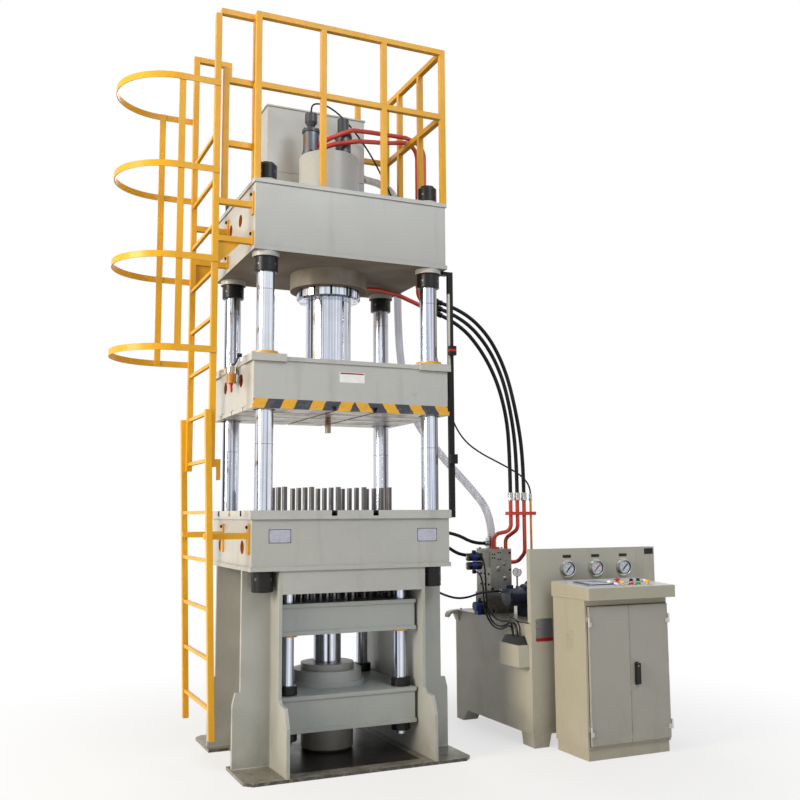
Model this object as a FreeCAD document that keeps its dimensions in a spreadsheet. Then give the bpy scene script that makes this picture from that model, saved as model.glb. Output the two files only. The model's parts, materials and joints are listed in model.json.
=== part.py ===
import FreeCAD, Part
import math
import os
import re

import Sketcher
from FreeCAD import Placement, Rotation, Vector

# Four-column hydraulic press with a lower cushion, a ladder and railed platform,
# a hydraulic power unit and a control cabinet.
# Origin on the floor under the middle of the press, +X to the right, +Y to the back, +Z up.

doc = FreeCAD.newDocument("HydraulicPress")
sheet = doc.addObject("Spreadsheet::Sheet", "Dimensions")

DIMENSIONS = {
    "Beams": {
        "beam_half_x": 703, "beam_half_y": 532, "web_inset": 9, "flange_thick": 28,
        "bolster_bottom_z": 1245, "bolster_height": 326, "table_thick": 57, "table_lip": 5,
        "table_bottom_z": "bolster_bottom_z + bolster_height", "table_top_z": "table_bottom_z + table_thick",
        "table_half_x": "beam_half_x + table_lip", "table_half_y": "beam_half_y + table_lip",
        "crown_bottom_z": 3321, "crown_height": 480, "crown_top_z": "crown_bottom_z + crown_height",
        "crown_half_y": "beam_half_y - 7",
        "slider_bottom_z": 2278, "slider_height": 342, "slider_top_z": "slider_bottom_z + slider_height",
        "well_half_x": "2 * pin_pitch_x + 41", "well_half_y": "1.5 * pin_pitch_y + 52",
        "port_depth": 90, "port_radius": 44, "crown_port_y": 133, "crown_port_z": "crown_top_z - 186",
        "slider_port_y": 212, "slider_port_z": "slider_bottom_z + 214",
        "bolster_port_y": 295, "bolster_port_z": "bolster_bottom_z + 147",
    },
    "Base and legs": {
        "base_half_x": "beam_half_x + 61", "base_half_y": "beam_half_y + 168", "base_thick": 20,
        "base_chamfer": 50, "base_notch_half_y": 240, "base_notch_inner_x": "base_half_x - 143",
        "tray_half_x": "side_plate_inner_x - 48", "tray_half_y": "side_plate_half_y + 70", "tray_depth": 6,
        "side_plate_inner_x": "beam_half_x - 215", "side_plate_thick": 22,
        "side_plate_outer_x": "side_plate_inner_x + side_plate_thick", "side_plate_half_y": "beam_half_y - 12",
        "foot_top_z": 430, "foot_shoulder_z": 310, "foot_step_y": "base_half_y - 50",
        "foot_round": 25, "fin_mid_y": 335, "fin_thick": 30, "fin_outer_x": "beam_half_x + 3",
        "fin_step_z": 485, "fin_foot_z": 410, "fin_foot_x": "base_half_x - 8", "fin_ledge_x": "fin_foot_x - 18",
        "apron_bottom_z": "bolster_bottom_z - 147", "apron_thick": 25,
    },
    "T-slots": {
        "slot_x": 146, "slot_y": 300, "slot_neck_half": 11, "slot_head_half": 19,
        "slot_neck_depth": 20, "slot_depth": 36,
    },
    "Tie columns and nuts": {
        "column_x": "beam_half_x - 108", "column_y": "beam_half_y - 100",
        "column_radius": 60, "column_end_radius": 50, "seat_clearance": 0.3,
        "nut_radius": 79, "nut_chamfer": 5, "lower_nut_radius": 70, "lower_nut_height": 133,
        "lower_nut_bottom_z": "bolster_bottom_z - lower_nut_height",
        "groove_depth": 3, "groove_height": 7, "groove_z": "lower_nut_bottom_z + 20",
        "column_bottom_z": "lower_nut_bottom_z + 6",
        "collar_height": 33, "collar_radius": 92, "middle_nut_height": 100,
        "upper_nut_radius": 67, "upper_nut_height": 102, "washer_height": 19, "washer_radius": 68,
        "upper_nut_top_z": "crown_top_z + washer_height + upper_nut_height",
        "column_top_z": "upper_nut_top_z + 14",
    },
    "Main cylinder": {
        "barrel_radius": 219, "barrel_top_z": "crown_top_z + 399", "barrel_wall": 44, "barrel_roof": 40,
        "head_flange_radius": 278, "head_flange_bottom_z": "crown_bottom_z - 118",
        "gland_radius": 230, "gland_bottom_z": "head_flange_bottom_z - 75", "gland_lip": 14,
        "gland_slot_width": 16, "gland_slot_depth": 9, "gland_slot_count": 12,
        "plunger_radius": 162, "running_fit": 0.06, "plunger_top_z": "crown_top_z - 21",
    },
    "Slider pads and bushes": {
        "pad_overhang": 11, "pad_inner_x": "column_x - 117", "pad_outer_x": "beam_half_x + pad_overhang",
        "pad_inner_y": "column_y - 107", "pad_outer_y": "beam_half_y + pad_overhang",
        "pad_thick": 16, "pad_depth": 35, "wiper_radius": 88, "wiper_height": 22,
        "bush_radius": 76, "bush_length": 169, "punch_radius": 21, "punch_reach": 100,
    },
    "Cushion": {
        "cushion_half_x": "side_plate_inner_x - 14", "cushion_half_y": "beam_half_y - 82",
        "cushion_bottom_z": 830, "cushion_top_z": 1030,
        "lower_beam_bottom_z": 222, "lower_beam_top_z": 450,
        "small_flange": 25, "small_inset": 8, "ear_half_y": 220,
        "guide_x": "cushion_half_x - 74", "guide_y": "cushion_half_y - 100", "guide_radius": 42,
        "guide_nut_radius": 66, "guide_nut_height": 58, "guide_end_radius": 34,
        "guide_bush_radius": 64, "guide_bush_height": 14, "guide_bush_length": 150, "cushion_bore_radius": 52,
        "guide_bottom_z": "lower_beam_bottom_z - 82",
        "cushion_rod_radius": 95, "cushion_body_radius": 180, "cushion_body_chamfer": 16, "cushion_floor": 40,
        "cushion_ring_radius": 236, "cushion_ring_top_z": "lower_beam_top_z + 99",
        "cushion_cap_top_z": "lower_beam_top_z + 138", "cushion_cap_radius": 184,
        "cushion_foot_radius": 258, "cushion_foot_top_z": "lower_beam_top_z + 26",
        "cushion_rod_bottom_z": "lower_beam_bottom_z + 18",
        "pin_radius": 17.5, "pin_hole_radius": 18.5, "pin_top_z": "table_top_z + 160",
        "pin_pitch_x": 192, "pin_pitch_y": 140,
    },
    "Prefill tank and valves": {
        "tank_half_x": 392, "tank_back_y": "crown_half_y - 55", "tank_front_y": "tank_back_y - 195",
        "tank_top_z": "crown_top_z + 867",
        "tank_seam_z": "crown_top_z + 364", "seam_height": 16, "seam_rise": 3, "lid_lip": 8, "lid_thick": 12,
        "suction_port_z": "crown_top_z + 437", "port_reach": 8,
        "valve_left_x": -140, "valve_right_x": 112, "valve_radius": 58,
        "valve_neck_z": "barrel_top_z + 185", "valve_top_z": "barrel_top_z + 330",
        "pressure_pipe_radius": 17, "pressure_pipe_bend": 110, "rail_passing_gap": 8,
    },
    "Railing and ladder": {
        "rail_size": 38, "rail_half_x": "beam_half_x - 20", "rail_half_y": "crown_half_y - 19",
        "rail_top_z": "crown_top_z + 1154", "rail_mid_z": "crown_top_z + 644",
        "post_inner_x": 225, "side_post_near_y": -137, "side_post_far_y": 236, "back_rail_end_x": 430,
        "gate_post_y": "ladder_near_y + rail_size / 2", "passage_rail_z": "crown_top_z + 229",
        "passage_rail_upper_z": "rail_mid_z + 20", "passage_post_x": "ladder_x + 60",
        "passage_post_top_z": "crown_top_z + 742", "handrail_end_x": "13 - beam_half_x", "handrail_drop": 110,
        "ladder_x": "-beam_half_x - 242", "ladder_near_y": "67 - beam_half_y",
        "ladder_far_y": "ladder_near_y + 670",
        "ladder_top_z": "crown_top_z + 1104", "ladder_bottom_z": 1900, "rung_count": 8,
        "rung_pitch": 305, "rung_top_z": "crown_top_z + 281", "rung_size": 22,
        "hook_reach": 40, "hook_height": 50, "hook_drop": 132, "hook_width": 26,
        "lower_ladder_x": "ladder_x - 35", "lower_ladder_foot_x": "ladder_x + 20",
        "lower_ladder_top_z": "ladder_bottom_z + 358", "lower_ladder_bottom_z": 245,
        "lower_rung_count": 5, "lower_rung_top_z": "bolster_bottom_z + 372", "lower_rung_pitch": 298,
        "hoop_count": 4, "hoop_centre_x": "ladder_x - 237", "hoop_width": 42, "hoop_thick": 6,
        "hoop_top_z": "crown_top_z + 619", "hoop_pitch": 592, "strap_x": "ladder_x - 230",
        "gusset_size": 150, "gusset_thick": 8, "arm_plate_thick": 12, "arm_plate_half": 28,
        "crown_arm_upper_z": "crown_top_z - 176", "crown_arm_lower_z": "crown_top_z - 423",
        "bolster_arm_z": "bolster_bottom_z + 223",
    },
    "Power unit": {
        "unit_left_x": 1280, "unit_right_x": 2360, "unit_back_y": 520, "unit_panel_y": -612,
        "unit_bottom_z": 88, "unit_top_z": 842, "cover_thick": 6, "cover_lip": 10,
        "panel_top_z": 1350, "panel_thick": 14, "panel_side_depth": 175, "panel_return": 30, "panel_edge": 8,
        "leg_width": 125, "leg_taper": 22, "back_leg_depth": 110, "back_leg_taper": 70,
        "manifold_x": 1345, "manifold_width": 185, "manifold_y": 60, "manifold_depth": 220,
        "manifold_top_z": 1330, "manifold_base_height": 160,
        "gauge_z": 1208, "gauge_left_x": 1588, "gauge_pitch": 244, "gauge_radius": 62, "gauge_depth": 30,
        "gauge_rim": 10, "gauge_lens_depth": 10,
        "valve_block_width": 58, "coil_radius": 30, "coil_length": 112, "coil_pitch": 66,
        "low_coil_radius": 34, "low_coil_length": 95,
        "pump_x": "unit_left_x + 45", "pump_y": -200, "pump_rise": 145, "pump_radius": 66, "pump_length": 150,
        "bell_radius": 92, "bell_length": 60, "motor_radius": 122, "motor_length": 330,
        "cowl_radius": 112, "cowl_length": 50,
        "terminal_box_x": "unit_left_x - 85", "terminal_box_z": 540, "terminal_box_height": 150,
        "terminal_box_near": 32, "terminal_box_far": 292, "hood_inset": 13, "hood_height": 55, "hood_slope": 48,
        "lug_reach": 99, "lug_drop": 90, "lug_width": 60,
        "unit_pipe_radius": 15, "unit_pipe_bend": 60, "return_pipe_radius": 9, "clamp_drop": 112,
        "clamp_height": 26, "clamp_half_y": 28, "clamp_reach": 32,
        "fitting_x": 1497, "fitting_pitch": 60, "fitting_z": 1700,
    },
    "Control cabinet": {
        "cab_left_x": 1412, "cab_right_x": "cab_left_x + 670", "cab_front_y": -1066, "cab_back_y": -692,
        "cab_plinth_z": 75, "cab_neck_z": 1030, "cab_back_top_z": 1133,
        "console_front_y": "cab_front_y - 71", "console_front_top_z": 1110,
        "console_left_x": "cab_left_x - 12", "console_right_x": "cab_right_x + 24",
        "door_split_x": "cab_left_x + 340", "door_bottom_z": 95, "door_top_z": 985,
        "door_thick": 18, "door_gap": 2, "door_left_x": "cab_left_x + 20", "door_right_x": "cab_right_x - 8",
        "cab_wall": 14, "low_hinge_z": "door_bottom_z + 60", "high_hinge_z": "door_top_z - 130",
        "console_back_row_y": "console_front_y + 207", "console_front_row_y": "console_front_y + 77",
        "display_front_y": "console_front_y + 49", "display_back_y": "console_front_y + 247",
        "display_x": "console_left_x + 145", "display_width": 200,
        "hinge_radius": 6, "hinge_pin_radius": 3, "hinge_half_height": 32, "hinge_offset_x": 7,
        "hinge_leaf": 20, "stem_radius": 9, "button_collar_radius": 15, "collar_rise": 9,
        "button_head_radius": 20, "lamp_radius": 14, "stop_x": "console_left_x + 380",
        "start_x": "console_left_x + 438", "cycle_left_x": "console_left_x + 332",
        "cycle_right_x": "console_left_x + 535", "selector_left_x": "console_left_x + 500",
        "selector_right_x": "console_left_x + 558", "lamp_far_left_x": "console_left_x + 316",
        "lamp_far_right_x": "console_left_x + 610", "lamp_near_left_x": "console_left_x + 276",
        "lamp_near_middle_x": "console_left_x + 400", "lamp_near_right_x": "console_left_x + 458",
        "handle_pin_radius": 5, "handle_boss_radius": 11, "handle_thick": 18, "handle_stand_off": 6,
        "handle_x": "door_split_x + 51", "handle_bottom_z": 467, "handle_top_z": 604, "handle_half_width": 18,
    },
    "Position rail and lubricator": {
        "position_x": "table_half_x + 30", "position_y": "-column_y - 18",
        "rail_thick": 40, "rail_half_width": 12,
        "switch_height": 66, "switch_depth": 34, "switch_rise": 95, "switch_drop": 330,
        "oiler_y": -150, "oiler_z": "slider_bottom_z + 267", "oiler_radius": 32, "oiler_gap": 8,
        "lever_reach": 145, "lever_rise": 45, "lever_thick": 8, "pivot_radius": 4,
    },
    "Hoses": {
        "main_hose_radius": 15, "pilot_hose_radius": 6.5, "suction_hose_radius": 31, "cushion_hose_radius": 13,
        "cable_radius": 8, "fitting_length": 50, "fitting_wall": 6, "fitting_seat": 60,
    },
}


def fill_sheet():
    """Write one row for each dimension: its name, its number or formula, and its alias."""
    cells = {}
    row = 1
    for section, entries in DIMENSIONS.items():
        sheet.set("A%d" % row, section)
        row += 1
        for name, entry in entries.items():
            cells["B%d" % row] = entry
            sheet.set("A%d" % row, name)
            sheet.set("B%d" % row, "0")
            sheet.setAlias("B%d" % row, name)
            row += 1
    for cell, entry in cells.items():
        sheet.set(cell, "=" + entry if isinstance(entry, str) else str(entry))
    doc.recompute()


fill_sheet()
ALIASES = {name for cells in DIMENSIONS.values() for name in cells}


def val(name):
    """A driving dimension, read from the sheet."""
    return float(sheet.get(name))


def linked(text):
    """An expression in which every dimension's name points at its cell."""
    return re.sub(r"[a-z][a-z0-9_]*", lambda m: "Dimensions." + m[0] if m[0] in ALIASES else m[0], str(text))


def bind(item, prop, text):
    item.setExpression(prop, linked(text))


def move_to(item, x, y, z):
    """Bind an object's place to expressions."""
    bind(item, "Placement.Base.x", x)
    bind(item, "Placement.Base.y", y)
    bind(item, "Placement.Base.z", z)
    return item


TURNS = {
    "X": Rotation(Vector(0, 1, 0), 90),
    "-X": Rotation(Vector(0, 1, 0), -90),
    "Y": Rotation(Vector(1, 0, 0), -90),
    "-Y": Rotation(Vector(1, 0, 0), 90),
    "Z": Rotation(),
}


def block(x0, x1, y0, y1, z0, z1):
    """A box between two planes on each axis."""
    item = doc.addObject("Part::Box", "Block")
    bind(item, "Length", "(%s) - (%s)" % (x1, x0))
    bind(item, "Width", "(%s) - (%s)" % (y1, y0))
    bind(item, "Height", "(%s) - (%s)" % (z1, z0))
    return move_to(item, x0, y0, z0)


def slab(half_x, half_y, z0, z1):
    """A box centred on the machine's axis."""
    return block("-(%s)" % half_x, half_x, "-(%s)" % half_y, half_y, z0, z1)


def rod(radius, length, x, y, z, axis="Z"):
    """A cylinder that starts at a point and runs along an axis."""
    item = doc.addObject("Part::Cylinder", "Rod")
    item.Placement = Placement(Vector(), TURNS[axis])
    bind(item, "Radius", radius)
    bind(item, "Height", length)
    return move_to(item, x, y, z)


def fuse(*items):
    item = doc.addObject("Part::MultiFuse", "Fuse")
    item.Shapes = list(items)
    item.Refine = True
    return item


def group(items):
    item = doc.addObject("Part::Compound", "Group")
    item.Links = list(items)
    return item


def cut(base, *tools):
    item = doc.addObject("Part::Cut", "Cut")
    item.Base = base
    item.Tool = tools[0] if len(tools) == 1 else group(tools)
    return item


def sketch_on(body, role, points):
    """A closed outline on one of a body's own planes, each corner bound to two expressions."""
    sketch = body.newObject("Sketcher::SketchObject", "Outline")
    plane = [feature for feature in body.Origin.OriginFeatures if feature.Role == role][0]
    sketch.AttachmentSupport = [(plane, "")]
    sketch.MapMode = "FlatFace"
    count = len(points)
    rough = [Vector(7 * k + 1, k * k + 3, 0) for k in range(count)]
    for k in range(count):
        sketch.addGeometry(Part.LineSegment(rough[k], rough[(k + 1) % count]))
    for k in range(count):
        sketch.addConstraint(Sketcher.Constraint("Coincident", k, 2, (k + 1) % count, 1))
    for k, corner in enumerate(points):
        for kind, text in zip(("DistanceX", "DistanceY"), corner):
            index = sketch.addConstraint(Sketcher.Constraint(kind, -1, 1, k, 1, float(k + 1)))
            bind(sketch, "Constraints[%d]" % index, text)
    return sketch


def pad(role, points, length):
    """An outline raised by a length, half to each side of its plane."""
    body = doc.addObject("PartDesign::Body", "Plate")
    feature = body.newObject("PartDesign::Pad", "Pad")
    feature.Profile = sketch_on(body, role, points)
    feature.SideType = "Symmetric"
    bind(feature, "Length", length)
    return body


def turned(points, x="0", y="0", z="0", axis="Z"):
    """A turned piece: points are (radius, height) along the axis, from the place given."""
    body = doc.addObject("PartDesign::Body", "Turned")
    sketch = sketch_on(body, "XZ_Plane", points)
    feature = body.newObject("PartDesign::Revolution", "Revolution")
    feature.Profile = sketch
    feature.ReferenceAxis = (sketch, ["V_Axis"])
    feature.Angle = 360
    body.Placement = Placement(Vector(), TURNS[axis])
    return move_to(body, x, y, z)


def shape_of(shape):
    """A free shape that the other kinds of feature can't make."""
    item = doc.addObject("Part::Feature", "Form")
    item.Shape = shape
    item.Placement = Placement()
    return item


SUB_PARTS = []


def sub_part(label, item):
    """Name a finished piece; its label is also its file's name."""
    item.Label = label
    SUB_PARTS.append(item)
    return item


SIDES = (-1, 1)
CORNERS = [(sx, sy) for sy in SIDES for sx in SIDES]


# Base plate, leg frames and apron


def make_base():
    plate = pad("XY_Plane", [
        ("-base_half_x + base_chamfer", "-base_half_y"), ("base_half_x - base_chamfer", "-base_half_y"),
        ("base_half_x", "-base_half_y + base_chamfer"), ("base_half_x", "base_half_y - base_chamfer"),
        ("base_half_x - base_chamfer", "base_half_y"), ("-base_half_x + base_chamfer", "base_half_y"),
        ("-base_half_x", "base_half_y - base_chamfer"), ("-base_half_x", "-base_half_y + base_chamfer"),
    ], "base_thick")
    move_to(plate, "0", "0", "base_thick / 2")
    tray = slab("tray_half_x", "tray_half_y", "base_thick - tray_depth", "base_thick + 1")
    notches = [
        block("-base_half_x - 1", "-base_notch_inner_x", "-base_notch_half_y", "base_notch_half_y", "-1",
              "base_thick + 1"),
        block("base_notch_inner_x", "base_half_x + 1", "-base_notch_half_y", "base_notch_half_y", "-1",
              "base_thick + 1"),
    ]
    sub_part("base_plate", cut(plate, tray, *notches))


def make_leg_frame(side):
    """A deep side plate with flared feet and two fins that carry the beam's corners."""
    half = [
        ("side_plate_half_y", "bolster_bottom_z"), ("side_plate_half_y", "foot_top_z + foot_round"),
        ("side_plate_half_y + foot_round", "foot_top_z"), ("foot_step_y", "foot_top_z - 6"),
        ("base_half_y", "foot_shoulder_z"), ("base_half_y", "base_thick"),
    ]
    mirrored = [("-(%s)" % y, z) for y, z in reversed(half)]
    plate = pad("YZ_Plane", half + mirrored, "side_plate_thick")
    move_to(plate, "%d * (side_plate_outer_x + side_plate_inner_x) / 2" % side, "0", "0")
    pieces = [plate]
    for front in SIDES:
        fin = pad("XZ_Plane", [
            ("%d * side_plate_outer_x" % side, "bolster_bottom_z"),
            ("%d * fin_outer_x" % side, "bolster_bottom_z"), ("%d * fin_outer_x" % side, "fin_step_z"),
            ("%d * fin_ledge_x" % side, "fin_step_z"),
            ("%d * fin_foot_x" % side, "fin_foot_z"), ("%d * fin_foot_x" % side, "base_thick"),
            ("%d * side_plate_outer_x" % side, "base_thick"),
        ], "fin_thick")
        pieces.append(move_to(fin, "0", "%d * fin_mid_y" % front, "0"))
    sub_part("leg_frame_left" if side < 0 else "leg_frame_right", fuse(*pieces))


def make_bolster():
    web = slab("beam_half_x - web_inset", "beam_half_y - web_inset", "bolster_bottom_z", "table_bottom_z")
    flange = slab("beam_half_x", "beam_half_y", "bolster_bottom_z", "bolster_bottom_z + flange_thick")
    apron = block("-side_plate_inner_x", "side_plate_inner_x", "-side_plate_half_y",
                  "-side_plate_half_y + apron_thick", "apron_bottom_z", "bolster_bottom_z")
    apron_back = block("-side_plate_inner_x", "side_plate_inner_x", "side_plate_half_y - apron_thick",
                       "side_plate_half_y", "apron_bottom_z", "bolster_bottom_z")
    well = slab("well_half_x", "well_half_y", "bolster_bottom_z - 1", "table_bottom_z + 1")
    sub_part("bolster_beam", cut(fuse(web, flange, apron, apron_back), well,
                                 *column_bores("column_end_radius", "bolster_bottom_z", "table_bottom_z"),
                                 *side_ports("bolster_port_y", "bolster_port_z")))


def column_bores(radius, z0, z1, slack="seat_clearance"):
    """Four holes for the tie columns."""
    return [rod("%s + %s" % (radius, slack), "(%s) - (%s) + 2" % (z1, z0), "%d * column_x" % sx,
                "%d * column_y" % sy, "(%s) - 1" % z0) for sx, sy in CORNERS]


def side_ports(port_y, port_z):
    """Blind lifting ports in a beam's left and right end plates."""
    tools = []
    for sx in SIDES:
        for sy in SIDES:
            start = "%d * (beam_half_x + 1)" % sx
            tools.append(rod("port_radius", "port_depth", start, "%d * %s" % (sy, port_y), port_z,
                             "-X" if sx > 0 else "X"))
    return tools


def t_slots(face_z, up):
    """Cutters for two slots along Y and three along X that open at a face."""
    tools = []
    sign = "+" if up else "-"
    lows = []
    for half, near, far in (("slot_neck_half", "1", "slot_neck_depth + 1"),
                            ("slot_head_half", "-slot_neck_depth", "slot_depth")):
        top = "%s %s (%s)" % (face_z, sign, near)
        bottom = "%s %s (-(%s))" % (face_z, sign, far)
        lows.append((half, bottom, top) if up else (half, top, bottom))
    for half, z0, z1 in lows:
        for sx in SIDES:
            x = "%d * slot_x" % sx
            tools.append(block("%s - %s" % (x, half), "%s + %s" % (x, half), "-table_half_y - 1",
                               "table_half_y + 1", z0, z1))
        for row in (-1, 0, 1):
            y = "%d * slot_y" % row
            tools.append(block("-table_half_x - 1", "table_half_x + 1", "%s - %s" % (y, half),
                               "%s + %s" % (y, half), z0, z1))
    return tools


PIN_PLACES = [(i, j) for j in (-1.5, -0.5, 0.5, 1.5) for i in (-2, -1, 0, 1, 2)]


def pin_set(radius, z0, z1):
    """One upright rod for each cushion pin."""
    return [rod(radius, "(%s) - (%s)" % (z1, z0), "%g * pin_pitch_x" % i, "%g * pin_pitch_y" % j, z0)
            for i, j in PIN_PLACES]


def make_table():
    plate = slab("table_half_x", "table_half_y", "table_bottom_z", "table_top_z")
    tools = t_slots("table_top_z", True) + pin_set("pin_hole_radius", "table_bottom_z - 1", "table_top_z + 1")
    tools += column_bores("column_end_radius", "table_bottom_z", "table_top_z")
    sub_part("table_plate", cut(plate, *tools))


def beam(bottom, top, half_x, half_y, inset, flange):
    """A welded box beam: a web box with a wider flange plate above and below."""
    return fuse(slab("%s - %s" % (half_x, inset), "%s - %s" % (half_y, inset), bottom, top),
                slab(half_x, half_y, bottom, "%s + %s" % (bottom, flange)),
                slab(half_x, half_y, "%s - %s" % (top, flange), top))


def make_crown():
    rings = []
    for sx, sy in CORNERS:
        x = "%d * column_x" % sx
        y = "%d * column_y" % sy
        rings.append(rod("collar_radius", "collar_height", x, y, "crown_bottom_z - collar_height"))
        rings.append(rod("washer_radius", "washer_height", x, y, "crown_top_z"))
    whole = fuse(beam("crown_bottom_z", "crown_top_z", "beam_half_x", "crown_half_y", "web_inset",
                      "flange_thick"), *rings)
    barrel = rod("barrel_radius + seat_clearance", "crown_top_z - crown_bottom_z + 2", "0", "0",
                 "crown_bottom_z - 1")
    bores = column_bores("column_end_radius", "crown_bottom_z", "crown_top_z + washer_height")
    bores += column_bores("column_radius", "crown_bottom_z - collar_height", "crown_bottom_z - 1")
    sub_part("crown_beam", cut(whole, barrel, *bores, *side_ports("crown_port_y", "crown_port_z")))


def make_slider():
    pads = []
    for sx, sy in CORNERS:
        xs = ("-pad_outer_x", "-pad_inner_x") if sx < 0 else ("pad_inner_x", "pad_outer_x")
        ys = ("-pad_outer_y", "-pad_inner_y") if sy < 0 else ("pad_inner_y", "pad_outer_y")
        pads.append(block(xs[0], xs[1], ys[0], ys[1], "slider_top_z - pad_depth", "slider_top_z + pad_thick"))
    box = beam("slider_bottom_z", "slider_top_z", "beam_half_x", "beam_half_y", "web_inset", "flange_thick")
    punch = rod("punch_radius", "punch_reach + slot_depth + 24", "0", "0", "slider_bottom_z - punch_reach")
    whole = fuse(box, punch, *pads)
    tools = column_bores("bush_radius", "slider_bottom_z", "slider_top_z + pad_thick")
    tools += side_ports("slider_port_y", "slider_port_z")
    slots = t_slots("slider_bottom_z", False)
    hub = rod("slot_head_half + punch_radius", "slot_depth + 2", "0", "0", "slider_bottom_z - 1")
    sub_part("slider_beam", cut(whole, *tools, cut(group(slots), hub)))


# Tie columns, their nuts and the slider's guide bushes


def make_columns():
    columns = []
    for sx, sy in CORNERS:
        columns.append(turned([
            ("0", "column_bottom_z"), ("column_end_radius", "column_bottom_z"),
            ("column_end_radius", "table_top_z"), ("column_radius", "table_top_z"),
            ("column_radius", "crown_bottom_z"), ("column_end_radius", "crown_bottom_z"),
            ("column_end_radius", "column_top_z"), ("0", "column_top_z"),
        ], "%d * column_x" % sx, "%d * column_y" % sy))
    sub_part("tie_columns", group(columns))


def ring_nut(bore, radius, z0, z1, x, y, groove=()):
    """A round nut with chamfered rims; groove gives more points of its side, from the bottom up."""
    return turned([
        (bore, z0), ("%s - nut_chamfer" % radius, z0), (radius, "%s + nut_chamfer" % z0), *groove,
        (radius, "%s - nut_chamfer" % z1), ("%s - nut_chamfer" % radius, z1), (bore, z1),
    ], x, y)


def make_nuts():
    nuts = []
    groove = [
        ("lower_nut_radius", "groove_z"), ("lower_nut_radius - groove_depth", "groove_z"),
        ("lower_nut_radius - groove_depth", "groove_z + groove_height"),
        ("lower_nut_radius", "groove_z + groove_height"),
    ]
    for sx, sy in CORNERS:
        x = "%d * column_x" % sx
        y = "%d * column_y" % sy
        nuts.append(ring_nut("column_end_radius + seat_clearance", "lower_nut_radius", "lower_nut_bottom_z",
                             "bolster_bottom_z", x, y, groove))
        nuts.append(ring_nut("column_radius + seat_clearance", "nut_radius",
                             "crown_bottom_z - collar_height - middle_nut_height",
                             "crown_bottom_z - collar_height", x, y))
        nuts.append(ring_nut("column_end_radius + seat_clearance", "upper_nut_radius",
                             "crown_top_z + washer_height", "upper_nut_top_z", x, y))
    sub_part("tie_nuts", group(nuts))


def make_slider_bushes():
    """Guide bushes that reach down into the slider, each with a wiper flange on its pad."""
    bore = "column_radius + running_fit"
    low = "slider_top_z - bush_length"
    seat = "slider_top_z + pad_thick"
    bushes = [turned([
        (bore, low), ("bush_radius", low), ("bush_radius", seat), ("wiper_radius", seat),
        ("wiper_radius", "%s + wiper_height" % seat), (bore, "%s + wiper_height" % seat),
    ], "%d * column_x" % sx, "%d * column_y" % sy) for sx, sy in CORNERS]
    sub_part("slider_bushes", group(bushes))


# Main cylinder


def spanner_slots():
    """Upright slots round the gland for the spanner that turns it."""
    slots = []
    count = int(val("gland_slot_count"))
    for index in range(count):
        angle = 360 * (index + 0.5) / count
        slot = doc.addObject("Part::Box", "Slot")
        slot.Placement = Placement(Vector(), Rotation(Vector(0, 0, 1), angle))
        bind(slot, "Length", "2 * gland_slot_depth")
        bind(slot, "Width", "gland_slot_width")
        bind(slot, "Height", "head_flange_bottom_z - gland_bottom_z - gland_lip")
        cos = math.cos(math.radians(angle))
        sin = math.sin(math.radians(angle))
        reach = "(gland_radius - gland_slot_depth)"
        x = "%s * (%.6f) + gland_slot_width / 2 * (%.6f)" % (reach, cos, sin)
        y = "%s * (%.6f) - gland_slot_width / 2 * (%.6f)" % (reach, sin, cos)
        slots.append(move_to(slot, x, y, "gland_bottom_z + gland_lip"))
    return slots


def make_main_cylinder():
    inner = "barrel_radius - barrel_wall"
    sub_part("main_cylinder", turned([
        (inner, "head_flange_bottom_z"), ("head_flange_radius", "head_flange_bottom_z"),
        ("head_flange_radius", "crown_bottom_z"), ("barrel_radius", "crown_bottom_z"),
        ("barrel_radius", "barrel_top_z"), ("0", "barrel_top_z"), ("0", "barrel_top_z - barrel_roof"),
        (inner, "barrel_top_z - barrel_roof"),
    ]))
    bore = "plunger_radius + running_fit"
    gland = turned([
        (bore, "gland_bottom_z"), ("gland_radius - gland_lip", "gland_bottom_z"),
        ("gland_radius", "gland_bottom_z + gland_lip"), ("gland_radius", "head_flange_bottom_z"),
        (bore, "head_flange_bottom_z"),
    ])
    sub_part("cylinder_gland", cut(gland, *spanner_slots()))
    sub_part("plunger", rod("plunger_radius", "plunger_top_z - slider_top_z", "0", "0", "slider_top_z"))


# Cushion under the table


def guide_places():
    return [("%d * guide_x" % sx, "%d * guide_y" % sy) for sx, sy in CORNERS]


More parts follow.
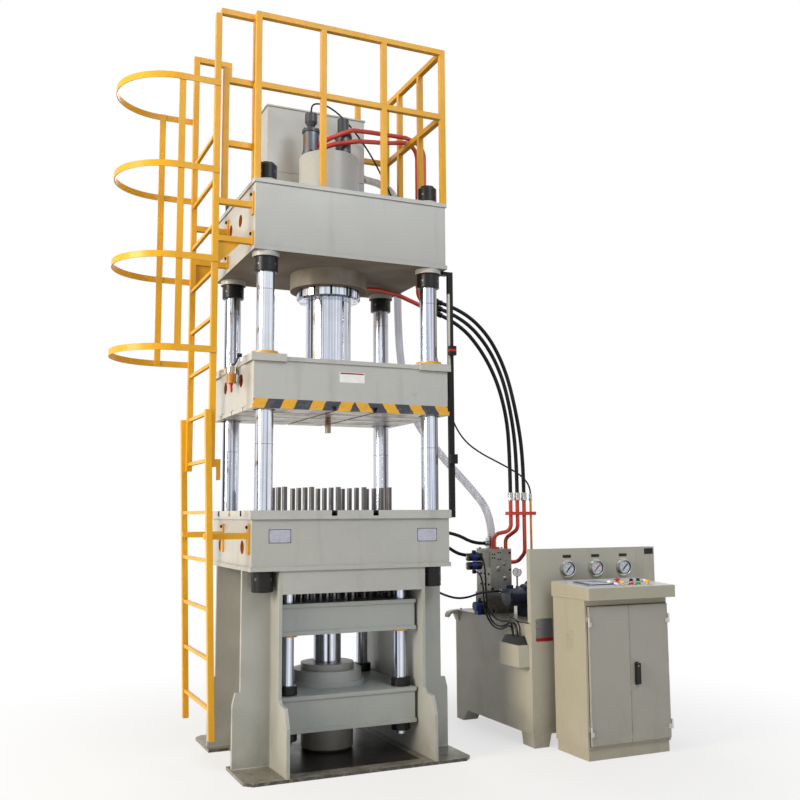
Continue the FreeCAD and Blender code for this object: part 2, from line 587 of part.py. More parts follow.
def make_cushion():
    lower = beam("lower_beam_bottom_z", "lower_beam_top_z", "cushion_half_x", "cushion_half_y", "small_inset",
                 "small_flange")
    ears = slab("side_plate_inner_x", "ear_half_y", "lower_beam_bottom_z + small_flange",
                "lower_beam_top_z - small_flange")
    body_hole = rod("cushion_body_radius + seat_clearance", "lower_beam_top_z", "0", "0", "0")
    guide_holes = [rod("guide_end_radius + seat_clearance", "lower_beam_top_z", x, y,
                       "lower_beam_bottom_z - 1") for x, y in guide_places()]
    sub_part("lower_beam", cut(fuse(lower, ears), body_hole, *guide_holes))

    bore = "cushion_rod_radius + running_fit"
    sub_part("cushion_cylinder", turned([
        ("0", "base_thick - tray_depth"),
        ("cushion_body_radius - cushion_body_chamfer", "base_thick - tray_depth"),
        ("cushion_body_radius", "base_thick - tray_depth + cushion_body_chamfer"),
        ("cushion_body_radius", "lower_beam_top_z"),
        ("cushion_foot_radius", "lower_beam_top_z"), ("cushion_foot_radius", "cushion_foot_top_z"),
        ("cushion_ring_radius", "cushion_foot_top_z"), ("cushion_ring_radius", "cushion_ring_top_z"),
        ("cushion_cap_radius", "cushion_ring_top_z"), ("cushion_cap_radius", "cushion_cap_top_z"),
        (bore, "cushion_cap_top_z"), (bore, "base_thick + cushion_floor"), ("0", "base_thick + cushion_floor"),
    ]))
    sub_part("cushion_rod", rod("cushion_rod_radius", "cushion_bottom_z - cushion_rod_bottom_z", "0", "0",
                                "cushion_rod_bottom_z"))

    plate = beam("cushion_bottom_z", "cushion_top_z", "cushion_half_x", "cushion_half_y", "small_inset",
                 "small_flange")
    sleeve_holes = [rod("cushion_bore_radius", "cushion_top_z - cushion_bottom_z + 2", x, y,
                        "cushion_bottom_z - 1") for x, y in guide_places()]
    sub_part("cushion_plate", cut(plate, *sleeve_holes))
    sub_part("cushion_pins", group(pin_set("pin_radius", "cushion_top_z", "pin_top_z")))

    columns = []
    nuts = []
    bushes = []
    for x, y in guide_places():
        columns.append(turned([
            ("0", "guide_bottom_z"), ("guide_end_radius", "guide_bottom_z"),
            ("guide_end_radius", "lower_beam_top_z"), ("guide_radius", "lower_beam_top_z"),
            ("guide_radius", "bolster_bottom_z"), ("0", "bolster_bottom_z"),
        ], x, y))
        nuts.append(ring_nut("guide_radius + seat_clearance", "guide_nut_radius", "lower_beam_top_z",
                             "lower_beam_top_z + guide_nut_height", x, y))
        nuts.append(ring_nut("guide_end_radius + seat_clearance", "guide_nut_radius",
                             "lower_beam_bottom_z - guide_nut_height", "lower_beam_bottom_z", x, y))
        bushes.append(turned([
            ("guide_radius + running_fit", "cushion_bottom_z - guide_bush_height"),
            ("guide_bush_radius", "cushion_bottom_z - guide_bush_height"),
            ("guide_bush_radius", "cushion_bottom_z"), ("cushion_bore_radius - 1", "cushion_bottom_z"),
            ("cushion_bore_radius - 1", "cushion_bottom_z + guide_bush_length"),
            ("guide_radius + running_fit", "cushion_bottom_z + guide_bush_length"),
        ], x, y))
    sub_part("cushion_columns", group(columns))
    sub_part("cushion_nuts", group(nuts))
    sub_part("cushion_bushes", group(bushes))


# Prefill tank, valves and the red pressure pipes


def make_prefill():
    shell = block("-tank_half_x", "tank_half_x", "tank_front_y", "tank_back_y", "crown_top_z", "tank_top_z")
    lid = block("-tank_half_x - lid_lip", "tank_half_x + lid_lip", "tank_front_y - lid_lip",
                "tank_back_y + lid_lip", "tank_top_z", "tank_top_z + lid_thick")
    port = rod("suction_hose_radius + fitting_wall", "port_reach", "tank_half_x",
               "(tank_front_y + tank_back_y) / 2", "suction_port_z", "X")
    seam = block("-tank_half_x - seam_rise", "tank_half_x + seam_rise", "tank_front_y - seam_rise",
                 "tank_back_y + seam_rise", "tank_seam_z", "tank_seam_z + seam_height")
    sub_part("prefill_tank", fuse(shell, lid, seam, port))
    valves = []
    for x, cap, waist in (("valve_left_x", 46, 24), ("valve_right_x", 43, 43)):
        valves.append(turned([
            ("0", "barrel_top_z"), ("valve_radius + 10", "barrel_top_z"),
            ("valve_radius + 10", "barrel_top_z + 30"),
            ("valve_radius", "barrel_top_z + 30"), ("valve_radius", "valve_neck_z"),
            ("valve_radius + 8", "valve_neck_z"), ("valve_radius + 8", "valve_neck_z + 22"),
            (waist + 6, "valve_neck_z + 22"), (waist, "valve_neck_z + 36"), (waist, "valve_neck_z + 48"),
            (cap, "valve_neck_z + 82"), (cap, "valve_top_z"), ("0", "valve_top_z"),
        ], x))
    sub_part("prefill_valves", group(valves))


def arc_and_runs(points, bend=None):
    """A wire of straight runs joined by tangent arcs, with the arcs' radii."""
    corners = [Vector(*point) for point in points]
    edges = []
    radii = []
    start = corners[0]
    for before, corner, after in zip(corners, corners[1:], corners[2:]):
        back = before - corner
        ahead = after - corner
        turn = math.pi - back.getAngle(ahead)
        reach = 0.45 * min(back.Length, ahead.Length)
        if bend:
            reach = min(reach, bend * math.tan(turn / 2))
        radius = reach / math.tan(turn / 2)
        back.normalize()
        ahead.normalize()
        inward = back + ahead
        inward.normalize()
        first = corner + back * reach
        last = corner + ahead * reach
        middle = corner + inward * (radius / math.cos(turn / 2) - radius)
        edges.append(Part.LineSegment(start, first).toShape())
        edges.append(Part.Arc(first, middle, last).toShape())
        radii.append(radius)
        start = last
    edges.append(Part.LineSegment(start, corners[-1]).toShape())
    return Part.Wire(edges), radii


def tube(points, radius, bend=None):
    """A round tube along a route."""
    path, radii = arc_and_runs(points, bend)
    first = Vector(*points[0])
    ring = Part.Wire([Part.makeCircle(radius, first, Vector(*points[1]) - first)])
    solid = path.makePipeShell([ring], True, False)
    return solid, path.Length, radii


def straight(start, end, radius):
    """A cylinder between two points."""
    first = Vector(*start)
    run = Vector(*end) - first
    return Part.makeCylinder(radius, run.Length, first, run)


def beyond(start, toward, distance):
    """The point that lies past the start of a run, on its line."""
    first = Vector(*start)
    back = first - Vector(*toward)
    back.normalize()
    return tuple(first + back * distance)


# Hose and cable routes, chosen point by point, in millimetres

FITTING_TOP = val("fitting_z") + val("fitting_seat")


def fitting_at(index):
    """Where a hose meets its fitting on the power unit's pipes."""
    return val("fitting_x") + index * val("fitting_pitch")


def beside(distance):
    """A place to the right of the beams' ends."""
    return val("beam_half_x") + distance


VALVE_LEFT_X = val("valve_left_x")
SUCTION_Y = (val("tank_front_y") + val("tank_back_y")) / 2
SUCTION_Z = val("suction_port_z")
MANIFOLD_TOP = val("manifold_top_z")
UNDER_CROWN = val("crown_bottom_z")
OVER_CROWN = val("crown_top_z")
VALVE_TOP = val("valve_top_z")

ROUTES = {
    "main_hose_1": ("main_hose_radius", [
        (beside(312), 191, UNDER_CROWN - 171), (beside(457), 160, UNDER_CROWN - 236), (1330, 128, 2890),
        (1455, 98, 2640), (1508, 50, 2340), (fitting_at(0), 0, 2040), (fitting_at(0), 0, FITTING_TOP)]),
    "main_hose_2": ("main_hose_radius", [
        (beside(314), 193, UNDER_CROWN - 121), (beside(467), 165, UNDER_CROWN - 176), (1360, 130, 2965),
        (1495, 98, 2700), (1548, 50, 2380), (fitting_at(1), 0, 2050), (fitting_at(1), 0, FITTING_TOP)]),
    "main_hose_3": ("main_hose_radius", [
        (beside(315), 193, UNDER_CROWN - 71), (beside(477), 165, UNDER_CROWN - 116), (1390, 125, 3020),
        (1530, 95, 2740), (1592, 50, 2400), (fitting_at(2), 0, 2050), (fitting_at(2), 0, FITTING_TOP)]),
    "pilot_hose": ("pilot_hose_radius", [
        (VALVE_LEFT_X, 0, VALVE_TOP + 10), (VALVE_LEFT_X, 0, VALVE_TOP + 54), (-117, 11, VALVE_TOP + 91),
        (-60, 38, VALVE_TOP + 115), (22, 78, VALVE_TOP + 123), (120, 126, VALVE_TOP + 104),
        (225, 172, VALVE_TOP + 50), (335, 217, VALVE_TOP - 30), (440, 258, VALVE_TOP - 126),
        (beside(-158), 300, VALVE_TOP - 255), (beside(-53), 335, OVER_CROWN + 319),
        (beside(37), 365, OVER_CROWN + 154), (beside(102), 385, OVER_CROWN - 26),
        (beside(147), 392, OVER_CROWN - 211), (beside(187), 385, OVER_CROWN - 401),
        (beside(230), 362, 3213), (beside(280), 322, 3030), (beside(309), 287, 2842),
        (beside(340), 266, 2655), (beside(385), 252, 2470), (1140, 236, 2290), (1215, 195, 2158),
        (1325, 155, 2072), (1435, 120, 2012), (1545, 80, 1950), (1635, 42, 1888), (fitting_at(3), 0, 1806),
        (fitting_at(3), 0, FITTING_TOP - 8)]),
    "suction_hose": ("suction_hose_radius", [
        (val("tank_half_x") + val("port_reach"), SUCTION_Y, SUCTION_Z), (605, SUCTION_Y, SUCTION_Z),
        (beside(69), 430, SUCTION_Z - 153), (beside(77), 480, SUCTION_Z - 378), (beside(72), 500, 3560),
        (beside(73), 503, 3150), (beside(92), 490, 2770), (beside(165), 455, 2380), (1075, 390, 2080),
        (1295, 310, 1825), (1450, 220, 1600), (1450, 220, MANIFOLD_TOP + 60)]),
    "cushion_hose_1": ("cushion_hose_radius", [
        (beside(47), 200, 1480), (beside(197), 200, 1480), (1120, 180, 1445), (1250, 150, MANIFOLD_TOP + 42),
        (1345, 150, MANIFOLD_TOP + 42)]),
    "cushion_hose_2": ("cushion_hose_radius", [
        (beside(47), 205, 1388), (beside(177), 205, 1388), (1030, 205, 1362), (1160, 205, MANIFOLD_TOP - 50),
        (1250, 205, MANIFOLD_TOP - 50)]),
    "pump_cable": ("cable_radius", [
        (beside(-143), -100, 1085), (beside(-48), -100, 1085), (beside(72), -100, 1056), (870, -100, 1012),
        (965, -105, 985), (1060, -110, 990), (1150, -128, 1022), (1225, -150, 1030), (1300, -150, 1030)]),
}


def make_hoses():
    """Every hose and cable, with its length and its tightest bend printed."""
    for name, (radius_name, points) in ROUTES.items():
        radius = val(radius_name)
        solid, length, radii = tube(points, radius)
        section = math.pi * radius ** 2
        print("%s: length %.0f mm, radii %s mm, volume / (section x length) %.4f"
              % (name, length, " ".join("%.0f" % bend for bend in radii), solid.Volume / (section * length)))
        sub_part(name, shape_of(solid))


def make_pressure_pipes():
    """Red pipes from the left valve down the crown's right side, and one from the cylinder's flange."""
    radius = val("pressure_pipe_radius")
    rest_z = val("rail_mid_z") + val("rail_size") / 2 + radius + val("rail_passing_gap")
    start = (VALVE_LEFT_X + 35, -26)
    base = val("barrel_top_z")
    routes = {
        "main_hose_3": (140, rest_z + 31, [
            start + (base + 90,), (-20, -80, base + 140), (150, -90, base + 225), (330, -15, base + 265),
            (val("rail_half_x"), 120, rest_z + 40)]),
        "main_hose_2": (203, rest_z - 2, [
            start + (base + 52,), (0, -95, base + 90), (202, -85, base + 150), (472, 40, base + 225),
            (val("rail_half_x"), 122, rest_z)]),
        "main_hose_1": (245, None, [
            (262, 30, UNDER_CROWN - 59), (430, 110, UNDER_CROWN - 33), (640, 205, UNDER_CROWN - 33)]),
    }
    pipes = []
    for name, (back, top_z, route) in routes.items():
        hose = ROUTES[name][1]
        corner = beyond(hose[0], hose[1], back)
        drop = [corner[:2] + (top_z,)] if top_z else []
        end = beyond(hose[0], hose[1], val("fitting_length"))
        pipes.append(tube(route + drop + [corner, end], radius, val("pressure_pipe_bend"))[0])
    slack = val("seat_clearance")
    flange_z = val("head_flange_bottom_z")
    flange = Part.makeCylinder(val("head_flange_radius") + slack, UNDER_CROWN - flange_z,
                               Vector(0, 0, flange_z))
    valve = Part.makeCylinder(val("valve_radius") + slack, VALVE_TOP - base, Vector(VALVE_LEFT_X, 0, base))
    trimmed = [pipe.cut(tool) for pipe, tool in zip(pipes, (valve, valve, flange))]
    sub_part("pressure_pipes", shape_of(Part.makeCompound(trimmed)))


def make_fittings():
    """Silver fittings at both ends of each hose, as wide as the hose and its sleeve."""
    wall = val("fitting_wall")
    main = val("main_hose_radius") + wall
    small = val("cushion_hose_radius") + wall
    pilot_radius = val("pilot_hose_radius") + wall
    cable_gland = val("cable_radius") + wall
    pieces = []
    for name in ("main_hose_1", "main_hose_2", "main_hose_3"):
        points = ROUTES[name][1]
        pieces.append(straight(beyond(points[0], points[1], val("fitting_length")), points[0], main))
        pieces.append(straight(points[-1][:2] + (val("fitting_z"),), points[-1], main))
    pilot = ROUTES["pilot_hose"][1]
    pieces.append(straight(pilot[0][:2] + (VALVE_TOP,), pilot[0], pilot_radius))
    pieces.append(straight(pilot[-1][:2] + (val("fitting_z"),), pilot[-1], pilot_radius))
    suction = ROUTES["suction_hose"][1]
    pieces.append(straight(suction[-1][:2] + (MANIFOLD_TOP,), suction[-1], val("suction_hose_radius") + wall))
    web_x = beside(-val("web_inset"))
    for name in ("cushion_hose_1", "cushion_hose_2"):
        first = ROUTES[name][1][0]
        pieces.append(straight((web_x,) + first[1:], first, small))
    last = ROUTES["cushion_hose_1"][1][-1]
    elbow = 3 * small
    elbow_x = last[0] + elbow / 2
    pieces.append(straight(last, (elbow_x,) + last[1:], small))
    pieces.append(Part.makeBox(elbow, elbow, 2 * (last[2] - MANIFOLD_TOP),
                               Vector(elbow_x, last[1] - elbow / 2, MANIFOLD_TOP)))
    last = ROUTES["cushion_hose_2"][1][-1]
    pieces.append(straight(last, (val("manifold_x") - val("valve_block_width"),) + last[1:], small))
    cable = ROUTES["pump_cable"][1]
    pieces.append(straight((val("side_plate_outer_x"),) + cable[0][1:], cable[0], cable_gland))
    pieces.append(straight(cable[-1], (val("pump_x"),) + cable[-1][1:], cable_gland))
    sub_part("hose_fittings", shape_of(Part.makeCompound(pieces)))


# Railing, ladders and cage


def bar_x(x0, x1, y, z, size="rail_size"):
    return block(x0, x1, "(%s) - %s / 2" % (y, size), "(%s) + %s / 2" % (y, size),
                 "(%s) - %s / 2" % (z, size), "(%s) + %s / 2" % (z, size))


def bar_y(y0, y1, x, z, size="rail_size"):
    return block("(%s) - %s / 2" % (x, size), "(%s) + %s / 2" % (x, size), y0, y1,
                 "(%s) - %s / 2" % (z, size), "(%s) + %s / 2" % (z, size))


def bar_z(z0, z1, x, y, size="rail_size"):
    return block("(%s) - %s / 2" % (x, size), "(%s) + %s / 2" % (x, size), "(%s) - %s / 2" % (y, size),
                 "(%s) + %s / 2" % (y, size), z0, z1)


def make_railing():
    """Posts with rails between them, each a straight length welded end to face."""
    half = "rail_size / 2"
    under = "rail_top_z - rail_size"
    top = "rail_top_z - %s" % half
    corner = "rail_half_x + %s" % half
    posts = []
    for x in ("-rail_half_x", "-post_inner_x", "post_inner_x", "rail_half_x"):
        posts.append(bar_z("crown_top_z", under, x, "-rail_half_y"))
    for y in ("side_post_near_y", "side_post_far_y", "rail_half_y"):
        posts.append(bar_z("crown_top_z", under, "rail_half_x", y))
    posts.append(bar_z("crown_top_z", under, "back_rail_end_x", "rail_half_y"))
    posts.append(bar_z("crown_top_z", under, "-rail_half_x", "gate_post_y"))
    rails = [
        bar_x("-(%s)" % corner, corner, "-rail_half_y", top),
        bar_y("-rail_half_y + %s" % half, "rail_half_y - %s" % half, "rail_half_x", top),
        bar_x("back_rail_end_x - %s" % half, corner, "rail_half_y", top),
        bar_x("ladder_x + %s" % half, "-rail_half_x + %s" % half, "gate_post_y", top),
        bar_y("-rail_half_y + %s" % half, "gate_post_y - %s" % half, "-rail_half_x", top),
    ]
    mid = fuse(bar_x("-rail_half_x", "rail_half_x", "-rail_half_y", "rail_mid_z"),
               bar_y("-rail_half_y", "rail_half_y", "rail_half_x", "rail_mid_z"),
               bar_x("back_rail_end_x", "rail_half_x", "rail_half_y", "rail_mid_z"),
               bar_y("-rail_half_y", "gate_post_y", "-rail_half_x", "rail_mid_z"))
    rails.append(cut(mid, *posts))
    for z in ("passage_rail_upper_z", "passage_rail_z"):
        rails.append(bar_x("passage_post_x + %s" % half, "-rail_half_x - %s" % half, "gate_post_y", z))
    posts.append(bar_z("crown_arm_upper_z + %s" % half, "passage_post_top_z", "passage_post_x", "gate_post_y"))
    sub_part("platform_railing", group(posts + rails))


def bracket(z, y, x_end, beam_x):
    """An arm from a ladder stile to the plate that is bolted to a beam."""
    y_low = "(%s) - rail_size / 2" % y
    y_high = "(%s) + rail_size / 2" % y
    plate_x = "(%s) - arm_plate_thick" % beam_x
    arm = block(x_end, plate_x, y_low, y_high, "(%s) - rail_size / 2" % z, "(%s) + rail_size / 2" % z)
    plate = block(plate_x, beam_x, y_low, y_high, "(%s) - arm_plate_half" % z, "(%s) + arm_plate_half" % z)
    return [arm, plate]


def rungs(count, near, far, place):
    """Square rungs between two stiles; place gives the x and z of each."""
    bars = []
    for step in range(count):
        x, z = place(step)
        bars.append(bar_y("%s + rail_size / 2" % near, "%s - rail_size / 2" % far, x, z, "rung_size"))
    return bars


def make_ladder():
    """Upper ladder: stiles, rungs, arms on the crown's side and the far handrail."""
    web = "-beam_half_x + web_inset"
    near = "ladder_near_y"
    far = "ladder_far_y"
    stile_face = "ladder_x + rail_size / 2"
    pieces = [bar_z("ladder_bottom_z", "ladder_top_z", "ladder_x", near),
              bar_z("ladder_bottom_z", "ladder_top_z", "ladder_x", far)]
    pieces += rungs(int(val("rung_count")), near, far,
                    lambda step: ("ladder_x", "rung_top_z - %d * rung_pitch" % step))
    low = "crown_arm_lower_z - rail_size / 2"
    for y in (near, far):
        for z in ("crown_arm_upper_z", "crown_arm_lower_z"):
            pieces += bracket(z, y, stile_face, web)
        gusset = pad("XZ_Plane", [
            (stile_face, low), ("%s + gusset_size" % stile_face, low), (stile_face, "%s - gusset_size" % low),
        ], "gusset_thick")
        pieces.append(move_to(gusset, "0", y, "0"))
    tip = "%s + hook_reach" % stile_face
    neck = "%s - hook_width" % tip
    hook = pad("XZ_Plane", [
        (stile_face, "ladder_bottom_z"), (stile_face, "ladder_bottom_z + hook_height"),
        (tip, "ladder_bottom_z + hook_height"), (tip, "ladder_bottom_z + hook_height - hook_drop"),
        (neck, "ladder_bottom_z + hook_height - hook_drop"), (neck, "ladder_bottom_z"),
    ], "gusset_thick")
    pieces.append(move_to(hook, "0", near, "0"))
    pieces.append(bar_x(stile_face, "handrail_end_x", far, "ladder_top_z - rail_size / 2"))
    pieces.append(bar_z("ladder_top_z - handrail_drop", "ladder_top_z - rail_size",
                        "handrail_end_x - rail_size / 2", far))
    sub_part("ladder_upper", group(pieces))


def make_lower_ladder():
    """Leaning lower section, hung beside the upper stiles and tied to the bolster."""
    near = "ladder_near_y - rail_size"
    far = "ladder_far_y + rail_size"
    half = "rail_size / 2"
    pieces = []
    for y in (near, far):
        stile = pad("XZ_Plane", [
            ("lower_ladder_x - %s" % half, "lower_ladder_top_z"),
            ("lower_ladder_x + %s" % half, "lower_ladder_top_z"),
            ("lower_ladder_foot_x + %s" % half, "lower_ladder_bottom_z"),
            ("lower_ladder_foot_x - %s" % half, "lower_ladder_bottom_z"),
        ], "rail_size")
        pieces.append(move_to(stile, "0", y, "0"))
    lean = "(lower_ladder_foot_x - lower_ladder_x) / (lower_ladder_top_z - lower_ladder_bottom_z)"

    def place(step):
        z = "lower_rung_top_z - %d * lower_rung_pitch" % step
        return "lower_ladder_x + (lower_ladder_top_z - (%s)) * %s" % (z, lean), z

    pieces += rungs(int(val("lower_rung_count")), near, far, place)
    web = "-beam_half_x + web_inset"
    for y in ("ladder_near_y", "ladder_far_y"):
        pieces += bracket("bolster_arm_z", y, "lower_ladder_x - 2", web)
    sub_part("ladder_lower", group(pieces))


def make_cage():
    """Flat hoops, each two straights and a half circle, tied by upright straps."""
    near_y = val("ladder_near_y") - val("rail_size") / 2
    far_y = val("ladder_far_y") + val("rail_size") / 2
    middle_y = (near_y + far_y) / 2
    inner = (far_y - near_y) / 2
    outer = inner + val("hoop_thick")
    ladder_x = val("ladder_x") + val("rail_size") / 2
    centre_x = val("hoop_centre_x")
    width = val("hoop_width")
    count = int(val("hoop_count"))
    pieces = []
    for row in range(count):
        z = val("hoop_top_z") - row * val("hoop_pitch")
        edges = []
        for reach, sign in ((outer, 1), (inner, -1)):
            first = Vector(ladder_x, middle_y + sign * reach, z)
            bend_start = Vector(centre_x, middle_y + sign * reach, z)
            tip = Vector(centre_x - reach, middle_y, z)
            bend_end = Vector(centre_x, middle_y - sign * reach, z)
            last = Vector(ladder_x, middle_y - sign * reach, z)
            edges.append(Part.LineSegment(first, bend_start).toShape())
            edges.append(Part.Arc(bend_start, tip, bend_end).toShape())
            edges.append(Part.LineSegment(bend_end, last).toShape())
        edges.insert(3, Part.LineSegment(Vector(ladder_x, middle_y - outer, z),
                                         Vector(ladder_x, middle_y - inner, z)).toShape())
        edges.append(Part.LineSegment(Vector(ladder_x, middle_y + inner, z),
                                      Vector(ladder_x, middle_y + outer, z)).toShape())
        face = Part.Face(Part.Wire(Part.__sortEdges__(edges)))
        band = face.extrude(Vector(0, 0, width))
        band.translate(Vector(0, 0, -width / 2))
        pieces.append(band)
    height = (count - 1) * val("hoop_pitch") + width
    low_z = val("hoop_top_z") + width / 2 - height
    thick = val("hoop_thick")
    for y in (middle_y - inner, middle_y + inner - thick):
        pieces.append(Part.makeBox(width, thick, height, Vector(val("strap_x") - width / 2, y, low_z)))
    whole = pieces[0].multiFuse(pieces[1:])
    sub_part("ladder_cage", shape_of(whole.removeSplitter()))


def make_position_rail():
    """Upright bar with limit switches, hung from the crown and fixed to the table's side."""
    near = "position_y - rail_half_width"
    far = "position_y + rail_half_width"
    bar = block("position_x", "position_x + rail_thick", near, far, "table_bottom_z + 4", "crown_bottom_z")
    hanger = block("column_x + collar_radius + 3", "position_x", near, "%s + 18" % far, "crown_bottom_z - 26",
                   "crown_bottom_z")
    foot = block("table_half_x", "position_x", near, far, "table_bottom_z + 4", "table_top_z - 13")
    switches = [block("position_x - 6", "position_x + rail_thick + 6", "%s - switch_depth" % near, near, z,
                      "(%s) + switch_height" % z)
                for z in ("slider_top_z + switch_rise", "slider_bottom_z - switch_drop")]
    sub_part("position_rail", fuse(bar, hanger, foot, *switches))


# Hand lubricator on the slider's left side


def make_lubricator():
    web = "-beam_half_x + web_inset"
    plate_face = "%s - 12" % web
    back = block(plate_face, web, "oiler_y - 45", "oiler_y + 45", "oiler_z - 70",
                 "slider_top_z - flange_thick - 2")
    centre_x = "%s - oiler_radius - oiler_gap" % plate_face
    bowl = rod("oiler_radius", "72", centre_x, "oiler_y", "oiler_z - 66")
    head = rod("oiler_radius + 6", "40", centre_x, "oiler_y", "oiler_z + 4")
    neck = rod("9", "26", centre_x, "oiler_y", "oiler_z + 44")
    arm = block(centre_x, plate_face, "oiler_y - 14", "oiler_y + 14", "oiler_z + 4", "oiler_z + 34")
    pivot_z = "oiler_z + 60"
    pin = rod("pivot_radius", "22", centre_x, "oiler_y", pivot_z, "X")
    sub_part("lubricator", fuse(back, bowl, head, neck, arm, pin))
    lever = pad("YZ_Plane", [
        ("-5", "-8"), ("8", "-5"), ("5", "8"), ("-lever_reach + 3", "lever_rise + 5"),
        ("-lever_reach - 3", "lever_rise - 5"),
    ], "lever_thick")
    move_to(lever, "%s + 16" % centre_x, "oiler_y", pivot_z)
    knob = rod("13", "30", "%s + 1" % centre_x, "oiler_y - lever_reach", "%s + lever_rise" % pivot_z, "X")
    eye = rod("pivot_radius + running_fit", "20", "%s + 8" % centre_x, "oiler_y", pivot_z, "X")
    sub_part("lubricator_lever", cut(fuse(lever, knob), eye))


# Hydraulic power unit


def make_oil_tank():
    """The tank with its cover, four feet, a terminal box with a connector hood, and a curled lug."""
    front = "unit_panel_y + panel_thick"
    top = "unit_top_z"
    tank = block("unit_left_x", "unit_right_x", front, "unit_back_y", "unit_bottom_z",
                 "unit_top_z - cover_thick")
    cover = block("unit_left_x - cover_lip", "unit_right_x", front, "unit_back_y + cover_lip",
                  "unit_top_z - cover_thick", top)
    legs = []
    for x in ("unit_left_x + leg_width / 2", "unit_right_x - leg_width / 2"):
        back_leg = pad("YZ_Plane", [
            ("unit_back_y", "unit_bottom_z"), ("unit_back_y", "0"), ("unit_back_y - back_leg_depth", "0"),
            ("unit_back_y - back_leg_depth - back_leg_taper", "unit_bottom_z"),
        ], "leg_width")
        front_leg = pad("YZ_Plane", [
            (front, "unit_bottom_z"), (front, "0"), ("unit_panel_y + panel_side_depth - leg_taper", "0"),
            ("unit_panel_y + panel_side_depth", "unit_bottom_z"),
        ], "leg_width - leg_taper")
        legs += [move_to(back_leg, x, "0", "0"), move_to(front_leg, x, "0", "0")]
    box_near = "unit_panel_y + terminal_box_near"
    box_far = "unit_panel_y + terminal_box_far"
    box_top = "terminal_box_z + terminal_box_height"
    terminal = block("terminal_box_x", "unit_left_x", box_near, box_far, "terminal_box_z", box_top)
    hood = pad("YZ_Plane", [
        ("%s + hood_inset" % box_near, box_top), ("%s + hood_slope" % box_near, "%s + hood_height" % box_top),
        ("%s - hood_slope - hood_inset" % box_far, "%s + hood_height" % box_top),
        ("%s - hood_inset" % box_far, box_top),
    ], "unit_left_x - terminal_box_x - 16")
    move_to(hood, "(unit_left_x + terminal_box_x) / 2", "0", "0")
    left = "unit_left_x"
    lug = pad("XZ_Plane", [
        ("%s + 20" % left, top), ("%s - 0.55 * lug_reach" % left, "%s - 2" % top),
        ("%s - 0.85 * lug_reach" % left, "%s - 14" % top), ("%s - lug_reach" % left, "%s - 34" % top),
        ("%s - lug_reach" % left, "%s - 56" % top), ("%s - 0.87 * lug_reach" % left, "%s - 52" % top),
        ("%s - 0.73 * lug_reach" % left, "%s - 32" % top), ("%s - 0.5 * lug_reach" % left, "%s - 22" % top),
        ("%s - 0.27 * lug_reach" % left, "%s - 32" % top), ("%s - 0.14 * lug_reach" % left, "%s - 60" % top),
        (left, "%s - lug_drop" % top), ("%s + 20" % left, "%s - lug_drop" % top),
    ], "lug_width")
    move_to(lug, "0", "unit_back_y - lug_width / 2", "0")
    sub_part("oil_tank", fuse(tank, cover, terminal, hood, lug, *legs))


def make_gauge_panel():
    """The tall front sheet with its folded edges, three gauges and their needles."""
    left = "unit_left_x"
    right = "unit_right_x"
    panel = pad("XZ_Plane", [
        (left, "panel_top_z"), (left, "unit_bottom_z"), ("%s + panel_edge" % left, "0"),
        ("%s + leg_width" % left, "0"), ("%s + leg_width + leg_taper" % left, "unit_bottom_z"),
        ("%s - leg_width - leg_taper" % right, "unit_bottom_z"), ("%s - leg_width" % right, "0"),
        ("%s - panel_edge" % right, "0"), (right, "unit_bottom_z"), (right, "panel_top_z"),
    ], "panel_thick")
    move_to(panel, "0", "unit_panel_y + panel_thick / 2", "0")
    back = "unit_panel_y + panel_thick"
    lip = block(left, right, back, "%s + panel_return" % back, "panel_top_z - panel_edge", "panel_top_z")
    end = block(left, "%s + panel_edge" % left, back, "%s + panel_return" % back, "unit_top_z",
                "panel_top_z - panel_edge")
    sub_part("gauge_panel", fuse(panel, lip, end))

    cases = []
    glass = "gauge_depth - gauge_lens_depth"
    rim = "gauge_radius - gauge_rim"
    for index in range(3):
        x = "gauge_left_x + %d * gauge_pitch" % index
        cases.append(turned([
            ("0", "0"), ("gauge_radius", "0"), ("gauge_radius", "8"), (rim, "8"), (rim, "gauge_depth"),
            ("%s - 5" % rim, "gauge_depth"), ("%s - 5" % rim, glass), ("4", glass), ("4", "%s + 3" % glass),
            ("0", "%s + 3" % glass),
        ], x, "unit_panel_y", "gauge_z", "-Y"))
    sub_part("gauge_cases", group(cases))
    for index, name in enumerate(("left", "middle", "right")):
        x = "gauge_left_x + %d * gauge_pitch" % index
        needle = pad("XZ_Plane", [
            ("-22", "-24.5"), ("-19.5", "-27"), ("3", "-3"), ("27", "24"), ("29", "29"), ("24", "27"),
            ("-3", "3"),
        ], "2")
        move_to(needle, x, "unit_panel_y - gauge_depth + 6", "gauge_z")
        sub_part("needle_%s" % name, needle)


